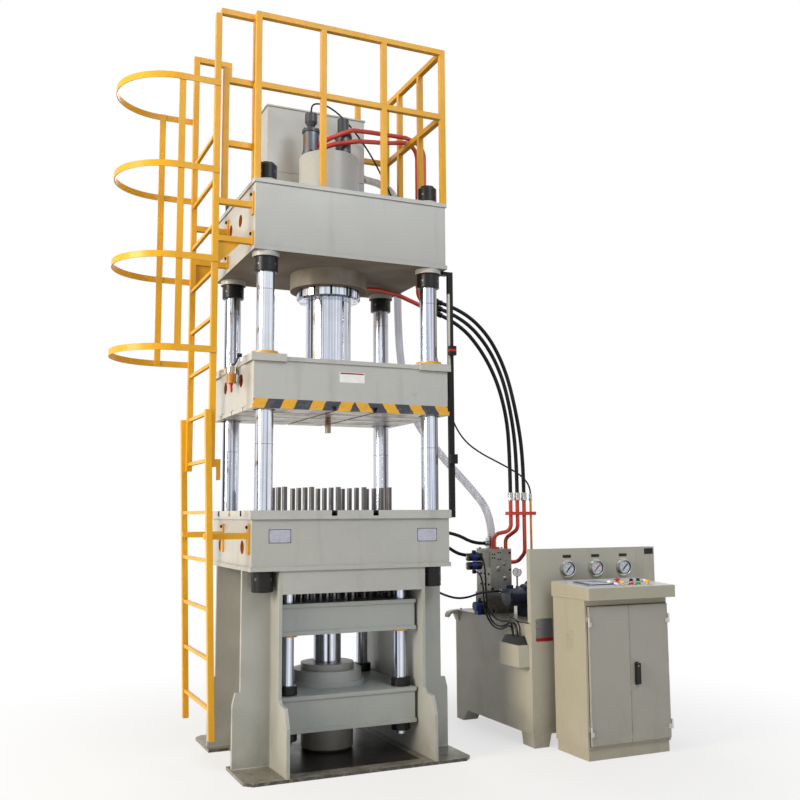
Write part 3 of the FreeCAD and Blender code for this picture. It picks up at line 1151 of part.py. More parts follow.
def make_manifold():
    """The valve manifold on the tank's cover, with its solenoid coils."""
    front = "manifold_y"
    back = "manifold_y + manifold_depth"
    side = "manifold_x - valve_block_width"
    column = block("manifold_x", "manifold_x + manifold_width", front, back, "unit_top_z", "manifold_top_z")
    base = block("manifold_x - 45", "manifold_x + manifold_width + 10", "%s - 10" % front, "%s - 60" % back,
                 "unit_top_z", "unit_top_z + manifold_base_height")
    side_block = block(side, "manifold_x", "%s + 15" % front, "%s - 40" % back, "manifold_top_z - 130",
                       "manifold_top_z - 25")
    sub_part("manifold_block", fuse(column, base, side_block))
    coils = [rod("coil_radius", "coil_length", "%s - coil_length" % side, "%s + 55" % front,
                 "manifold_top_z - 60 - %d * coil_pitch" % row, "X") for row in range(2)]
    low_z = "unit_top_z + 62"
    low = rod("low_coil_radius", "low_coil_length", "manifold_x - low_coil_length - 45", "%s + 10" % front,
              low_z, "X")
    foot = block("manifold_x - 125", "manifold_x - 45", "%s - 18" % front, "%s + 38" % front, "unit_top_z",
                 low_z)
    sub_part("solenoid_valves", group(coils + [fuse(low, foot)]))


def make_pump():
    """Pump, bell housing, motor and fan cowl in one line on the tank's cover."""
    y = "pump_y"
    z = "unit_top_z + pump_rise"
    bell_x = "pump_x + pump_length"
    motor_x = "%s + bell_length" % bell_x
    middle_x = "%s + motor_length / 2" % motor_x
    pump = rod("pump_radius", "pump_length", "pump_x", y, z, "X")
    bell = rod("bell_radius", "bell_length", bell_x, y, z, "X")
    motor = rod("motor_radius", "motor_length", motor_x, y, z, "X")
    cowl = rod("cowl_radius", "cowl_length", "%s + motor_length" % motor_x, y, z, "X")
    feet = block(bell_x, "%s + motor_length - 40" % motor_x, "%s - 0.78 * motor_radius" % y,
                 "%s + 0.78 * motor_radius" % y, "unit_top_z", "%s - 0.6 * motor_radius" % z)
    junction = block("%s - 0.5 * motor_radius" % middle_x, "%s + 0.5 * motor_radius" % middle_x,
                     "%s - 0.5 * motor_radius" % y, "%s + 0.5 * motor_radius" % y,
                     "%s + 0.8 * motor_radius" % z, "%s + 1.5 * motor_radius" % z)
    ear = block("pump_x", "pump_x + 60", "%s - 6" % y, "%s + 80" % y, "%s + 5" % z, "%s + 87" % z)
    sub_part("pump_motor", fuse(pump, bell, motor, cowl, feet, junction, ear))


def make_unit_pipes():
    """Three red pipes and a thin yellow one, held side by side by a clamp plate."""
    radius = val("unit_pipe_radius")
    top = val("fitting_z")
    reach = val("clamp_reach")
    half_y = val("clamp_half_y")
    xs = [fitting_at(index) for index in range(4)]
    left_foot = (val("manifold_x") + 50, val("manifold_y") + 30)
    right_foot = (val("manifold_x") + 160, val("manifold_y") + 40)
    side_y = val("manifold_y") + 50
    routes = [
        [(xs[0], 0, top), (xs[0], 0, MANIFOLD_TOP + 140), left_foot + (MANIFOLD_TOP + 110,),
         left_foot + (MANIFOLD_TOP,)],
        [(xs[1], 0, top), (xs[1], 0, MANIFOLD_TOP + 150), right_foot + (MANIFOLD_TOP + 80,),
         right_foot + (MANIFOLD_TOP,)],
        [(xs[2], 0, top), (xs[2], 0, MANIFOLD_TOP - 30), (xs[2], side_y, MANIFOLD_TOP - 105),
         (val("manifold_x") + val("manifold_width"), side_y, MANIFOLD_TOP - 105)],
    ]
    pipes = [tube(route, radius, val("unit_pipe_bend"))[0] for route in routes]
    flange = Part.makeBox(2 * reach, 2 * half_y, radius,
                          Vector(left_foot[0] - reach, left_foot[1] - half_y, MANIFOLD_TOP))
    yellow = straight((xs[3], 0, val("unit_top_z")), (xs[3], 0, top), val("return_pipe_radius"))
    clamp = Part.makeBox(xs[3] - xs[0] + 2 * reach, 2 * half_y, val("clamp_height"),
                         Vector(xs[0] - reach, -half_y, top - val("clamp_drop")))
    whole = pipes[0].multiFuse(pipes[1:] + [flange, clamp, yellow])
    sub_part("unit_pipes", shape_of(whole.removeSplitter()))


# Control cabinet and console


CONSOLE_TILT = math.degrees(math.atan2(val("cab_back_top_z") - val("console_front_top_z"),
                                       val("cab_back_y") - val("console_front_y")))


def on_console(item, x, y):
    """Stand an item square to the sloping console top."""
    item.Placement = Placement(Vector(), Rotation(Vector(1, 0, 0), CONSOLE_TILT))
    rise = "(cab_back_top_z - console_front_top_z) / (cab_back_y - console_front_y)"
    return move_to(item, x, y, "console_front_top_z + ((%s) - console_front_y) * %s" % (y, rise))


BACK_ROW = "console_back_row_y"
FRONT_ROW = "console_front_row_y"
BUTTONS = {
    "emergency_stop": ("stop_x", BACK_ROW, True),
    "start_button": ("start_x", BACK_ROW, False),
    "cycle_button_left": ("cycle_left_x", FRONT_ROW, True),
    "cycle_button_right": ("cycle_right_x", FRONT_ROW, True),
}
SELECTORS = {"selector_left": ("selector_left_x", BACK_ROW), "selector_right": ("selector_right_x", BACK_ROW)}
LAMPS = [
    ("lamp_far_left_x", BACK_ROW), ("lamp_far_right_x", BACK_ROW), ("lamp_near_left_x", FRONT_ROW),
    ("lamp_near_middle_x", FRONT_ROW), ("lamp_near_right_x", FRONT_ROW),
]
DOOR_FRONT = "cab_front_y - door_thick"
HINGE_Y = "cab_front_y - door_thick - hinge_radius"
HINGE_PLACES = ("low_hinge_z", "high_hinge_z")
DOOR_EDGES = {"left": ("door_left_x", -1), "right": ("door_right_x", 1)}
HANDLE_Z = "handle_top_z - 18"


def fixed_hinge(edge, outward, z):
    """The cabinet's half of a hinge: a knuckle above the door's, with the pin that hangs down from it."""
    axis_x = "(%s) + %d * hinge_offset_x" % (edge, outward)
    inner = "(%s) + %d" % (edge, outward)
    outer = "(%s) + %d * (hinge_offset_x + 1)" % (edge, outward)
    low, high = (outer, inner) if outward < 0 else (inner, outer)
    z_low = "(%s) + hinge_half_height + seat_clearance" % z
    z_high = "(%s) + 2 * hinge_half_height" % z
    strap = block(low, high, HINGE_Y, "cab_front_y", z_low, z_high)
    knuckle = rod("hinge_radius", "hinge_half_height - seat_clearance", axis_x, HINGE_Y, z_low)
    pin = rod("hinge_pin_radius", "hinge_half_height + 1", axis_x, HINGE_Y, z)
    return [strap, knuckle, pin]


def make_cabinet():
    shell = block("cab_left_x", "cab_right_x", "cab_front_y", "cab_back_y", "cab_plinth_z", "cab_neck_z")
    plinth = block("cab_left_x + 8", "cab_right_x - 8", "cab_front_y + 8", "cab_back_y - 8", "0",
                   "cab_plinth_z")
    console = pad("YZ_Plane", [
        ("cab_back_y", "cab_neck_z"), ("cab_back_y", "cab_back_top_z"),
        ("console_front_y", "console_front_top_z"), ("console_front_y", "cab_neck_z"),
    ], "console_right_x - console_left_x")
    move_to(console, "(console_left_x + console_right_x) / 2", "0", "0")
    cavity = block("door_left_x + cab_wall", "door_right_x - cab_wall", "cab_front_y - 1",
                   "cab_back_y - cab_wall", "door_bottom_z + cab_wall", "door_top_z - cab_wall")
    fixed = []
    holes = []
    for x, y in [spot[:2] for spot in BUTTONS.values()] + list(SELECTORS.values()):
        collar = turned([("0", "-8"), ("button_collar_radius", "-8"), ("button_collar_radius", "collar_rise"),
                         ("0", "collar_rise")])
        fixed.append(on_console(collar, x, y))
        bore = "stem_radius + running_fit"
        holes.append(on_console(turned([("0", "-20"), (bore, "-20"), (bore, "20"), ("0", "20")]), x, y))
    for x, y in LAMPS:
        lamp = turned([("0", "-8"), ("lamp_radius", "-8"), ("lamp_radius", "8"), ("lamp_radius - 5", "15"),
                       ("0", "15")])
        fixed.append(on_console(lamp, x, y))
    for edge, outward in DOOR_EDGES.values():
        for z in HINGE_PLACES:
            fixed += fixed_hinge(edge, outward, z)
    display = pad("YZ_Plane", [
        ("display_front_y", "console_front_top_z - 5"), ("display_back_y", "console_front_top_z + 5"),
        ("display_back_y", "console_front_top_z + 26"), ("display_front_y", "console_front_top_z + 16"),
    ], "display_width")
    move_to(display, "display_x", "0", "0")
    body = cut(fuse(shell, plinth, console, display, *fixed), cavity, *holes)
    sub_part("cabinet_body", body)


def make_doors():
    """Two doors that hang on pins, and the lever on the right one."""
    for name, x0, x1 in (("left", "door_left_x", "door_split_x - door_gap / 2"),
                         ("right", "door_split_x + door_gap / 2", "door_right_x")):
        edge, outward = DOOR_EDGES[name]
        leaf = block(x0, x1, DOOR_FRONT, "cab_front_y", "door_bottom_z", "door_top_z")
        pieces = [leaf]
        bores = []
        axis_x = "(%s) + %d * hinge_offset_x" % (edge, outward)
        inner_x = "(%s) - %d * hinge_leaf" % (edge, outward)
        for z in HINGE_PLACES:
            low, high = (axis_x, inner_x) if outward < 0 else (inner_x, axis_x)
            pieces.append(rod("hinge_radius", "hinge_half_height", axis_x, HINGE_Y, z))
            pieces.append(block(low, high, HINGE_Y, DOOR_FRONT, z, "(%s) + hinge_half_height" % z))
            bores.append(rod("hinge_pin_radius + running_fit", "hinge_half_height + 2", axis_x, HINGE_Y,
                             "(%s) - 1" % z))
        if name == "right":
            seat_y = "%s - handle_stand_off" % DOOR_FRONT
            pieces.append(rod("handle_boss_radius", "handle_stand_off", "handle_x", seat_y, HANDLE_Z, "Y"))
            pieces.append(rod("handle_pin_radius", "handle_thick + handle_stand_off", "handle_x",
                              "%s - handle_thick" % seat_y, HANDLE_Z, "Y"))
        sub_part("door_%s" % name, cut(fuse(*pieces), *bores))
    lever = block("handle_x - handle_half_width", "handle_x + handle_half_width",
                  "%s - handle_stand_off - handle_thick" % DOOR_FRONT, "%s - handle_stand_off" % DOOR_FRONT,
                  "handle_bottom_z", "handle_top_z")
    eye = rod("handle_pin_radius + running_fit", "handle_thick + 4", "handle_x",
              "%s - handle_stand_off - handle_thick - 2" % DOOR_FRONT, HANDLE_Z, "Y")
    sub_part("door_handle", cut(lever, eye))


def make_controls():
    """Push buttons that slide in their collars and selectors that turn in them."""
    for name, (x, y, head) in BUTTONS.items():
        profile = [("0", "-12"), ("stem_radius", "-12")]
        if head:
            profile += [("stem_radius", "17"), ("button_head_radius", "19"), ("button_head_radius", "26"),
                        ("button_head_radius - 6", "31"), ("0", "33")]
        else:
            profile += [("stem_radius", "15"), ("0", "15")]
        sub_part(name, on_console(turned(profile), x, y))
    for name, (x, y) in SELECTORS.items():
        knob = turned([("0", "-12"), ("stem_radius", "-12"), ("stem_radius", "collar_rise + seat_clearance"),
                       ("lamp_radius", "collar_rise + seat_clearance"), ("lamp_radius", "collar_rise + 6"),
                       ("0", "collar_rise + 6")])
        grip = block("-4", "4", "-13", "13", "collar_rise + 5", "collar_rise + 17")
        sub_part(name, on_console(fuse(knob, grip), x, y))


def report_and_write():
    """Check every object, then write one file for each sub-part."""
    doc.recompute()
    faults = [item.Name for item in doc.Objects if {"Invalid", "Error"} & set(item.State)]
    for item in SUB_PARTS:
        if item.Shape.isNull() or not item.Shape.isValid() or not item.Shape.Solids:
            faults.append(item.Label)
    if faults:
        raise RuntimeError("failed objects: " + ", ".join(faults))
    os.makedirs("parts", exist_ok=True)
    for item in SUB_PARTS:
        item.Shape.exportStep("parts/%s.step" % item.Label)
    print("wrote", len(SUB_PARTS), "sub-parts")


make_base()
for side in SIDES:
    make_leg_frame(side)
make_bolster()
make_table()
make_crown()
make_slider()
make_columns()
make_nuts()
make_slider_bushes()
make_main_cylinder()
make_cushion()
make_prefill()
make_pressure_pipes()
make_railing()
make_ladder()
make_lower_ladder()
make_cage()
make_position_rail()
make_lubricator()
make_hoses()
make_fittings()
make_oil_tank()
make_gauge_panel()
make_manifold()
make_pump()
make_unit_pipes()
make_cabinet()
make_doors()
make_controls()
report_and_write()
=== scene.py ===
import json
import math

import bmesh
import bpy
from mathutils import Matrix, Vector

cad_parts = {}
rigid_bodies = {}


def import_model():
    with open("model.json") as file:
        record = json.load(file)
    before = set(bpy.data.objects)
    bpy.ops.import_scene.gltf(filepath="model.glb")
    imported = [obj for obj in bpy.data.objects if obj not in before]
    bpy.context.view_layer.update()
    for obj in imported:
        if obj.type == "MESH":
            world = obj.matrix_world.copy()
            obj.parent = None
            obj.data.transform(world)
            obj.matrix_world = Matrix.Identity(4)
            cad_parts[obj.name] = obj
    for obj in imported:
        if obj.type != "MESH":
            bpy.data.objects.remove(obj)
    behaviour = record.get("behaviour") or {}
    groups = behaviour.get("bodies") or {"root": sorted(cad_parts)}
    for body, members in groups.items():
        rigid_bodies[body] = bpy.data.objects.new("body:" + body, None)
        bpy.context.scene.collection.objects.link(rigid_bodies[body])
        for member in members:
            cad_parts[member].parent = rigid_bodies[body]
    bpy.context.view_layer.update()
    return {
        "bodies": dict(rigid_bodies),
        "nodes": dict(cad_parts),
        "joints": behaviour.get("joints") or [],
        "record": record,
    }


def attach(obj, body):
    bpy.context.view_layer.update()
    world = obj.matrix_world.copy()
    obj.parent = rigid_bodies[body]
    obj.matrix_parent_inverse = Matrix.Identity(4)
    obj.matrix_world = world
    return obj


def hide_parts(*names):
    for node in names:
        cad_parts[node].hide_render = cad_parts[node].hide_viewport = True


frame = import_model()
nodes = frame["nodes"]
scene = bpy.context.scene
scene.view_settings.view_transform = "Standard"


# Camera, solved from the photograph

CAMERA_AT = Vector((-2.3221, -6.4267, 1.60))
YAW, PITCH, ROLL = math.radians(24.197), math.radians(6.806), math.radians(-0.316)


def add_camera():
    forward = Vector((math.sin(YAW) * math.cos(PITCH), math.cos(YAW) * math.cos(PITCH), math.sin(PITCH)))
    right = Vector((math.cos(YAW), -math.sin(YAW), 0))
    up = right.cross(forward)
    right, up = right * math.cos(ROLL) + up * math.sin(ROLL), up * math.cos(ROLL) - right * math.sin(ROLL)
    data = bpy.data.cameras.new("camera")
    data.lens, data.sensor_width = 43.03, 36
    data.clip_end = 200
    camera = bpy.data.objects.new("camera", data)
    camera.matrix_world = Matrix((right, up, -forward)).transposed().to_4x4()
    camera.location = CAMERA_AT
    scene.collection.objects.link(camera)
    scene.camera = camera


add_camera()


# Shader helpers

LOOKS = {}


def linear(rgb):
    """An sRGB colour, 0 to 255, as the shader's linear numbers."""
    out = []
    for channel in rgb:
        c = channel / 255
        out.append(c / 12.92 if c <= 0.04045 else ((c + 0.055) / 1.055) ** 2.4)
    return (*out, 1.0)


class Nodes:
    """A node tree with short calls for the nodes used here."""

    def __init__(self, tree):
        self.tree = tree

    def node(self, kind, **settings):
        item = self.tree.nodes.new(kind)
        for key, value in settings.items():
            setattr(item, key, value)
        return item

    def link(self, source, target):
        self.tree.links.new(source, target)

    def feed(self, socket, value):
        if isinstance(value, bpy.types.NodeSocket):
            self.link(value, socket)
        else:
            socket.default_value = value

    def filled(self, kind, *values, **settings):
        """A node's first output, with its first inputs fed in order."""
        item = self.node(kind, **settings)
        for socket, value in zip(item.inputs, values):
            self.feed(socket, value)
        return item.outputs[0]

    def place(self):
        """The surface point in the model's own frame, in metres."""
        return self.node("ShaderNodeTexCoord").outputs["Object"]

    def split(self, vector=None):
        item = self.node("ShaderNodeSeparateXYZ")
        self.link(vector or self.place(), item.inputs[0])
        return item.outputs

    def math(self, operation, a, b=0.0):
        return self.filled("ShaderNodeMath", a, b, operation=operation)

    def plus(self, a, b):
        return self.math("ADD", a, b)

    def minus(self, a, b):
        return self.math("SUBTRACT", a, b)

    def times(self, first, *others):
        """A product; of masks, 1 where all of them are."""
        for other in others:
            first = self.math("MULTIPLY", first, other)
        return first

    both = times

    def either(self, first, *others):
        for other in others:
            first = self.math("MAXIMUM", first, other)
        return first

    def size(self, value):
        return self.math("ABSOLUTE", value)

    def over(self, value, limit):
        return self.math("GREATER_THAN", value, limit)

    def under(self, value, limit):
        return self.math("LESS_THAN", value, limit)

    def within(self, value, low, high):
        return self.both(self.over(value, low), self.under(value, high))

    def cycle(self, value, start, length):
        """How far a value has gone through its present cycle, 0 to 1."""
        return self.math("FRACT", self.math("DIVIDE", self.minus(value, start), length))

    def disc(self, u, v, centre_u, centre_v, radius):
        """1 within a circle in the plane of two coordinates."""
        du, dv = self.minus(u, centre_u), self.minus(v, centre_v)
        return self.under(self.plus(self.both(du, du), self.both(dv, dv)), radius * radius)

    def mapped(self, value, low, high, to_low=0.0, to_high=1.0, kind="LINEAR"):
        return self.filled("ShaderNodeMapRange", value, low, high, to_low, to_high, interpolation_type=kind)

    def stretched(self, *scale):
        """The surface point scaled, for grain that runs one way."""
        item = self.node("ShaderNodeMapping")
        item.inputs["Scale"].default_value = scale
        self.link(self.place(), item.inputs["Vector"])
        return item.outputs[0]

    def noise(self, scale, detail=3.0, rough=0.5, vector=None):
        item = self.node("ShaderNodeTexNoise")
        for key, value in (("Scale", scale), ("Detail", detail), ("Roughness", rough)):
            item.inputs[key].default_value = value
        self.link(vector or self.place(), item.inputs["Vector"])
        return item.outputs["Fac"]

    def patches(self, scale, detail, rough, low, high, to_low=0.0, to_high=1.0):
        """Noise cut off at two levels, so that it makes patches."""
        return self.mapped(self.noise(scale, detail, rough), low, high, to_low, to_high)

    def mix(self, factor, a, b):
        item = self.node("ShaderNodeMix", data_type="RGBA")
        for key, value in (("Factor", factor), ("A", a), ("B", b)):
            if isinstance(value, tuple) and len(value) == 3:
                value = linear(value)
            self.feed(item.inputs[key], value)
        return item.outputs["Result"]

    def ramp(self, value, stops):
        """A colour along a value; stops are (position, colour)."""
        item = self.node("ShaderNodeValToRGB")
        elements = item.color_ramp.elements
        while len(elements) < len(stops):
            elements.new(1.0)
        for element, (position, colour) in zip(elements, stops):
            element.position = position
            element.color = linear(colour)
        self.link(value, item.inputs[0])
        return item.outputs[0]

    def facing(self, axis, sign):
        """1 on faces that look along an axis."""
        normal = self.split(self.node("ShaderNodeTexCoord").outputs["Normal"])[axis]
        return self.over(self.times(normal, sign), 0.7)

    def rounded(self, radius):
        """The surface direction with sharp edges rounded off."""
        return self.filled("ShaderNodeBevel", radius, samples=4)

    def edges(self, radius):
        """1 on sharp edges, falling to 0 a radius away."""
        dot = self.node("ShaderNodeVectorMath", operation="DOT_PRODUCT")
        self.link(self.rounded(radius), dot.inputs[0])
        self.link(self.node("ShaderNodeNewGeometry").outputs["Normal"], dot.inputs[1])
        return self.mapped(dot.outputs["Value"], 0.97, 0.80)

    def seen_or_reflected(self):
        """1 for rays from the camera and for those that gloss and glass send on."""
        path = self.node("ShaderNodeLightPath").outputs
        return self.either(path["Is Camera Ray"], path["Is Glossy Ray"], path["Is Transmission Ray"])


class Shader(Nodes):
    """A new material for the named CAD nodes, kept in LOOKS for the other pieces."""

    def __init__(self, name, wearers=""):
        self.material = bpy.data.materials.new(name)
        self.material.use_nodes = True
        super().__init__(self.material.node_tree)
        self.bsdf = self.tree.nodes["Principled BSDF"]
        LOOKS[name] = self.material
        for wearer in wearers.split():
            nodes[wearer].data.materials.clear()
            nodes[wearer].data.materials.append(self.material)

    def bump(self, height, strength, distance, under=None):
        item = self.node("ShaderNodeBump")
        item.inputs["Strength"].default_value = strength
        item.inputs["Distance"].default_value = distance
        self.link(height, item.inputs["Height"])
        if under is not None:
            self.link(under, item.inputs["Normal"])
        self.link(item.outputs[0], self.bsdf.inputs["Normal"])

    def set(self, **values):
        for key, value in values.items():
            self.feed(self.bsdf.inputs[key.replace("_", " ")], value)


def shaded(s, colour, low, high, scale):
    """A colour made lighter and darker by broad noise and fine specks."""
    broad = s.patches(scale, 4.0, 0.6, 0.3, 0.7, low, high)
    fine = s.patches(70.0, 2.0, 0.5, 0.3, 0.7, -0.02, 0.02)
    item = s.node("ShaderNodeVectorMath", operation="SCALE")
    item.inputs[0].default_value = linear(colour)[:3]
    s.link(s.plus(broad, fine), item.inputs["Scale"])
    return item.outputs[0]


# Paints

PAINT = (187, 188, 185)
UNIT = (180, 177, 164)
GUARD = (226, 166, 34)
PRIMER = (176, 104, 28)
STEEL = (150, 144, 134)
SOIL = (104, 92, 70)


def make_paint(name, wearers, colour, extra=None, rough=0.40, soil_and_shade=1.0, worn=True, tone=(0.94, 1.04),
               gloss=0.45, greasy=True):
    """Sprayed enamel: broad tone changes, runs, dirt low down, painted shade in dark brown on undersides, and
    worn edges.
    """
    s = Shader(name, wearers)
    x, y, z = s.split()
    base = shaded(s, colour, *tone, 1.6)
    runs = s.noise(1.0, 4.0, 0.6, s.stretched(9.0, 9.0, 0.9))
    base = s.mix(s.mapped(runs, 0.56, 0.72, 0.0, 0.16 * soil_and_shade), base, SOIL)
    low = s.both(s.mapped(z, 0.0, 0.5, 0.45 * soil_and_shade, 0.0), s.patches(4.0, 6.0, 0.7, 0.35, 0.65))
    base = s.mix(low, base, SOIL)
    # Faces that look down turn dark brown: painted shade, with a painted reflection of a brown floor.
    down = s.facing(2, -1)
    underside_shade = s.both(down, s.patches(3.0, 3.0, 0.5, 0.3, 0.6, 0.70, 0.92))
    base = s.mix(s.times(underside_shade, min(soil_and_shade, 1.0)), base, (90, 69, 40))
    marks = s.noise(2.3, 8.0, 0.75)
    base = s.mix(s.mapped(marks, 0.62, 0.70, 0.0, 0.22 * soil_and_shade), base, SOIL)
    if worn:
        edge = s.edges(0.005)
        wear = s.both(edge, s.patches(14.0, 5.0, 0.7, 0.45, 0.62))
        base = s.mix(s.times(edge, 0.25), base, (226, 222, 208))
        base = s.mix(s.times(wear, 0.6), base, (112, 100, 84))
    if extra:
        base = extra(s, base, x, y, z)
    s.set(Base_Color=base, Specular_IOR_Level=gloss, Coat_Roughness=0.15)
    sheen = s.patches(6.0, 5.0, 0.65, 0.3, 0.7, rough - 0.08, rough + 0.14)
    dull = s.times(down, 0.85 if greasy else 0.0)
    s.set(Coat_Weight=s.mapped(dull, 0.0, 0.85, gloss / 3, 0.0), Roughness=s.math("MAXIMUM", sheen, dull))
    grain = s.plus(s.noise(260.0, 1.0), s.times(s.noise(3.2, 2.0), 6.0))
    s.bump(grain, 0.10, 0.0012, s.rounded(0.003) if worn else None)


def bare(s, mask, base, colour=STEEL, metallic=0.8):
    """Unpainted steel with brown stains where the mask is 1."""
    stains = s.patches(7.0, 6.0, 0.7, 0.46, 0.62)
    s.set(Metallic=s.times(mask, metallic))
    return s.mix(mask, base, s.mix(stains, colour, (112, 90, 66)))


def ports(s, base, x, y, z, places):
    """Amber primer inside the lifting ports in the beam's sides."""
    for port_y, port_z in places:
        hole = s.both(s.disc(s.size(y), z, port_y, port_z, 0.0446), s.over(s.size(x), 0.58))
        base = s.mix(hole, base, PRIMER)
    return base


def crown_marks(s, base, x, y, z):
    """Painted shade, darker towards the lower edge."""
    dust_and_shade = s.mix(s.mapped(z, 3.78, 3.34, 0.0, 0.22), base, (120, 118, 116))
    return ports(s, dust_and_shade, x, y, z, [(0.133, 3.615)])


def bolster_marks(s, base, x, y, z):
    return ports(s, base, x, y, z, [(0.295, 1.392)])


HAZARD_LOW, HAZARD_HIGH = 2.278, 2.342
HAZARD_START, HAZARD_CYCLE = 0.038, 0.1965
BEAM_FRONT = -0.5215


def slider_marks(s, base, x, y, z):
    """Slanting yellow and navy stripes on the lower front edge, mirrored at the middle; bare steel below."""
    base = ports(s, base, x, y, z, [(0.212, 2.492)])
    slant = s.plus(s.size(x), s.times(s.minus(z, HAZARD_LOW), 0.53))
    yellow = s.both(s.under(s.cycle(slant, HAZARD_START, HAZARD_CYCLE), 0.46), s.over(slant, HAZARD_START))
    scuff = s.patches(22.0, 6.0, 0.7, 0.50, 0.66, 0.0, 0.35)
    stripes = s.mix(scuff, s.mix(yellow, (50, 54, 68), (232, 174, 44)), (150, 138, 112))
    front = s.both(s.within(z, HAZARD_LOW + 0.0004, HAZARD_HIGH), s.under(y, BEAM_FRONT))
    slots = s.both(s.within(z, HAZARD_LOW, 2.3155), s.over(y, BEAM_FRONT), s.under(s.size(x), 0.692))
    metal = s.either(s.under(z, HAZARD_LOW + 0.0004), slots)
    return bare(s, metal, s.mix(front, base, stripes), (178, 170, 158))


def table_marks(s, base, x, y, z):
    """Machined top and painted shade in the slots; the sides are painted."""
    near = [s.under(s.size(s.minus(s.size(across), middle)), 0.0195)
            for across, middle in ((x, 0.146), (y, 0.300))]
    slots = s.both(s.either(*near), s.within(z, 1.5915, 1.6275))
    base = bare(s, s.either(s.facing(2, 1), s.both(s.under(s.size(x), 0.42), s.under(s.size(y), 0.28))), base)
    # The slots are painted near black: painted shade.
    return s.mix(slots, base, (20, 19, 18))


def cylinder_marks(s, base, x, y, z):
    """Brown on the collar under the crown: painted shade below the crown, with oil and dust in patches."""
    return s.mix(s.both(s.under(z, 3.3205), s.patches(5.0, 4.0, 0.5, 0.3, 0.7, 0.5, 0.8)), base, (96, 76, 42))


def base_marks(s, base, x, y, z):
    """Trodden dirt on the plate, and a nearly black tray in its middle: painted shade under the press, with
    oily patches.
    """
    trodden = s.patches(5.0, 8.0, 0.75, 0.36, 0.62, 0.45, 0.88)
    base = s.mix(trodden, base, (98, 91, 74))
    pits = s.patches(34.0, 5.0, 0.7, 0.56, 0.64, 0.0, 0.7)
    edge = s.both(s.facing(1, -1), s.patches(26.0, 5.0, 0.7, 0.36, 0.52, 0.2, 0.9))
    base = s.mix(s.either(pits, edge), base, (46, 41, 35))
    # The tray is painted nearly black as shade under the press, with oily patches.
    shade_tray = s.both(s.under(s.size(x), 0.4395), s.under(s.size(y), 0.5895), s.under(z, 0.0196))
    return s.mix(shade_tray, base, s.mix(s.patches(6.0, 6.0, 0.7, 0.4, 0.6), (20, 19, 19), (46, 42, 38)))


def tank_marks(s, base, x, y, z):
    """Black rubber hood over the connectors and an oily cover."""
    hood = s.both(s.over(z, 0.6904), s.under(x, 1.2725), s.under(y, -0.32))
    cover = s.both(s.over(z, 0.8415), s.patches(4.0, 6.0, 0.7, 0.4, 0.6, 0.25, 0.7))
    return s.mix(hood, s.mix(cover, base, (104, 98, 84)), (12, 12, 12))


# The console's sloping top: its front edge, the height there, and the rise towards the back

CONSOLE_FRONT, CONSOLE_Z = -1.137, 1.110
CONSOLE_SLOPE = (1.133 - CONSOLE_Z) / (-0.692 - CONSOLE_FRONT)


def cabinet_marks(s, base, x, y, z):
    """Light console top, bright collars and hinges, a dark seal round the doors and a dull inside."""
    rise = s.minus(s.minus(z, CONSOLE_Z), s.times(s.minus(y, CONSOLE_FRONT), CONSOLE_SLOPE))
    top = s.both(s.over(rise, -0.0006), s.facing(2, 1))
    base = s.mix(top, base, (204, 205, 208))
    hinge = s.both(s.under(y, -1.0664), s.under(z, 1.028))
    bright = s.either(s.over(rise, 0.0012), hinge)
    s.set(Metallic=s.times(bright, 0.9))
    gasket = s.both(s.within(y, -1.0665, -1.0655), s.within(x, 1.4265, 2.0795), s.within(z, 0.0895, 0.9905))
    base = s.mix(gasket, base, (58, 55, 50))
    base = s.mix(bright, base, (196, 196, 194))
    inside = s.both(s.within(x, 1.446, 2.060), s.within(y, -1.0655, -0.707), s.within(z, 0.11, 0.97))
    return s.mix(inside, base, (150, 146, 134))


def door_marks(s, base, x, y, z):
    """Bright hinge knuckles; the leaf itself is a little darker than the cabinet."""
    hinge = s.both(s.under(y, -1.0861), s.either(s.under(x, 1.445), s.over(x, 2.055)))
    s.set(Metallic=s.times(hinge, 0.9))
    return s.mix(hinge, base, (190, 190, 188))


def pipe_marks(s, base, x, y, z):
    """The thin fourth pipe is amber."""
    return s.mix(s.disc(x, y, 1.677, 0.0, 0.0094), base, (222, 150, 40))


def valve_marks(s, base, x, y, z):
    """Dark caps on steel bodies."""
    return bare(s, s.under(z, 4.384), base, (98, 103, 114))


make_paint("frame_enamel", "cushion_cylinder prefill_tank", PAINT)
# The legs, lower beam, cushion plate and bolster wear darker copies of the frame enamel: painted shade, as
# the lower parts get less light.
make_paint("leg_shaded_enamel", "leg_frame_left leg_frame_right", (173, 175, 170), soil_and_shade=0.8)
make_paint("beam_shaded_enamel", "lower_beam cushion_plate", (166, 170, 168), soil_and_shade=0.7)
make_paint("crown_enamel", "crown_beam", PAINT, crown_marks)
make_paint("cylinder_enamel", "main_cylinder", PAINT, cylinder_marks)
make_paint("bolster_shaded_enamel", "bolster_beam", (180, 181, 177), bolster_marks)
make_paint("slider_enamel", "slider_beam", PAINT, slider_marks, greasy=False)
make_paint("table_enamel", "table_plate", PAINT, table_marks)
make_paint("base_enamel", "base_plate", PAINT, base_marks, soil_and_shade=1.4)
make_paint("tank_enamel", "oil_tank", UNIT, tank_marks)
make_paint("panel_enamel", "gauge_panel", UNIT)
make_paint("guard_enamel", "platform_railing ladder_upper ladder_cage ladder_lower", GUARD, soil_and_shade=0.5,
           tone=(0.88, 1.08), gloss=0.25)
make_paint("pipe_enamel", "pressure_pipes unit_pipes", (206, 58, 36), pipe_marks, 0.3, 0.5, worn=False)
make_paint("valve_enamel", "prefill_valves", (54, 58, 66), valve_marks, soil_and_shade=0.4, worn=False)
make_paint("pump_enamel", "pump_motor", (36, 44, 68), rough=0.30, worn=False)
make_paint("cabinet_enamel", "cabinet_body", (177, 172, 154), cabinet_marks, 0.42, 0.5)
make_paint("door_enamel", "door_left door_right", (166, 163, 154), door_marks, 0.42, 0.5)


# Metals, rubber and plastics


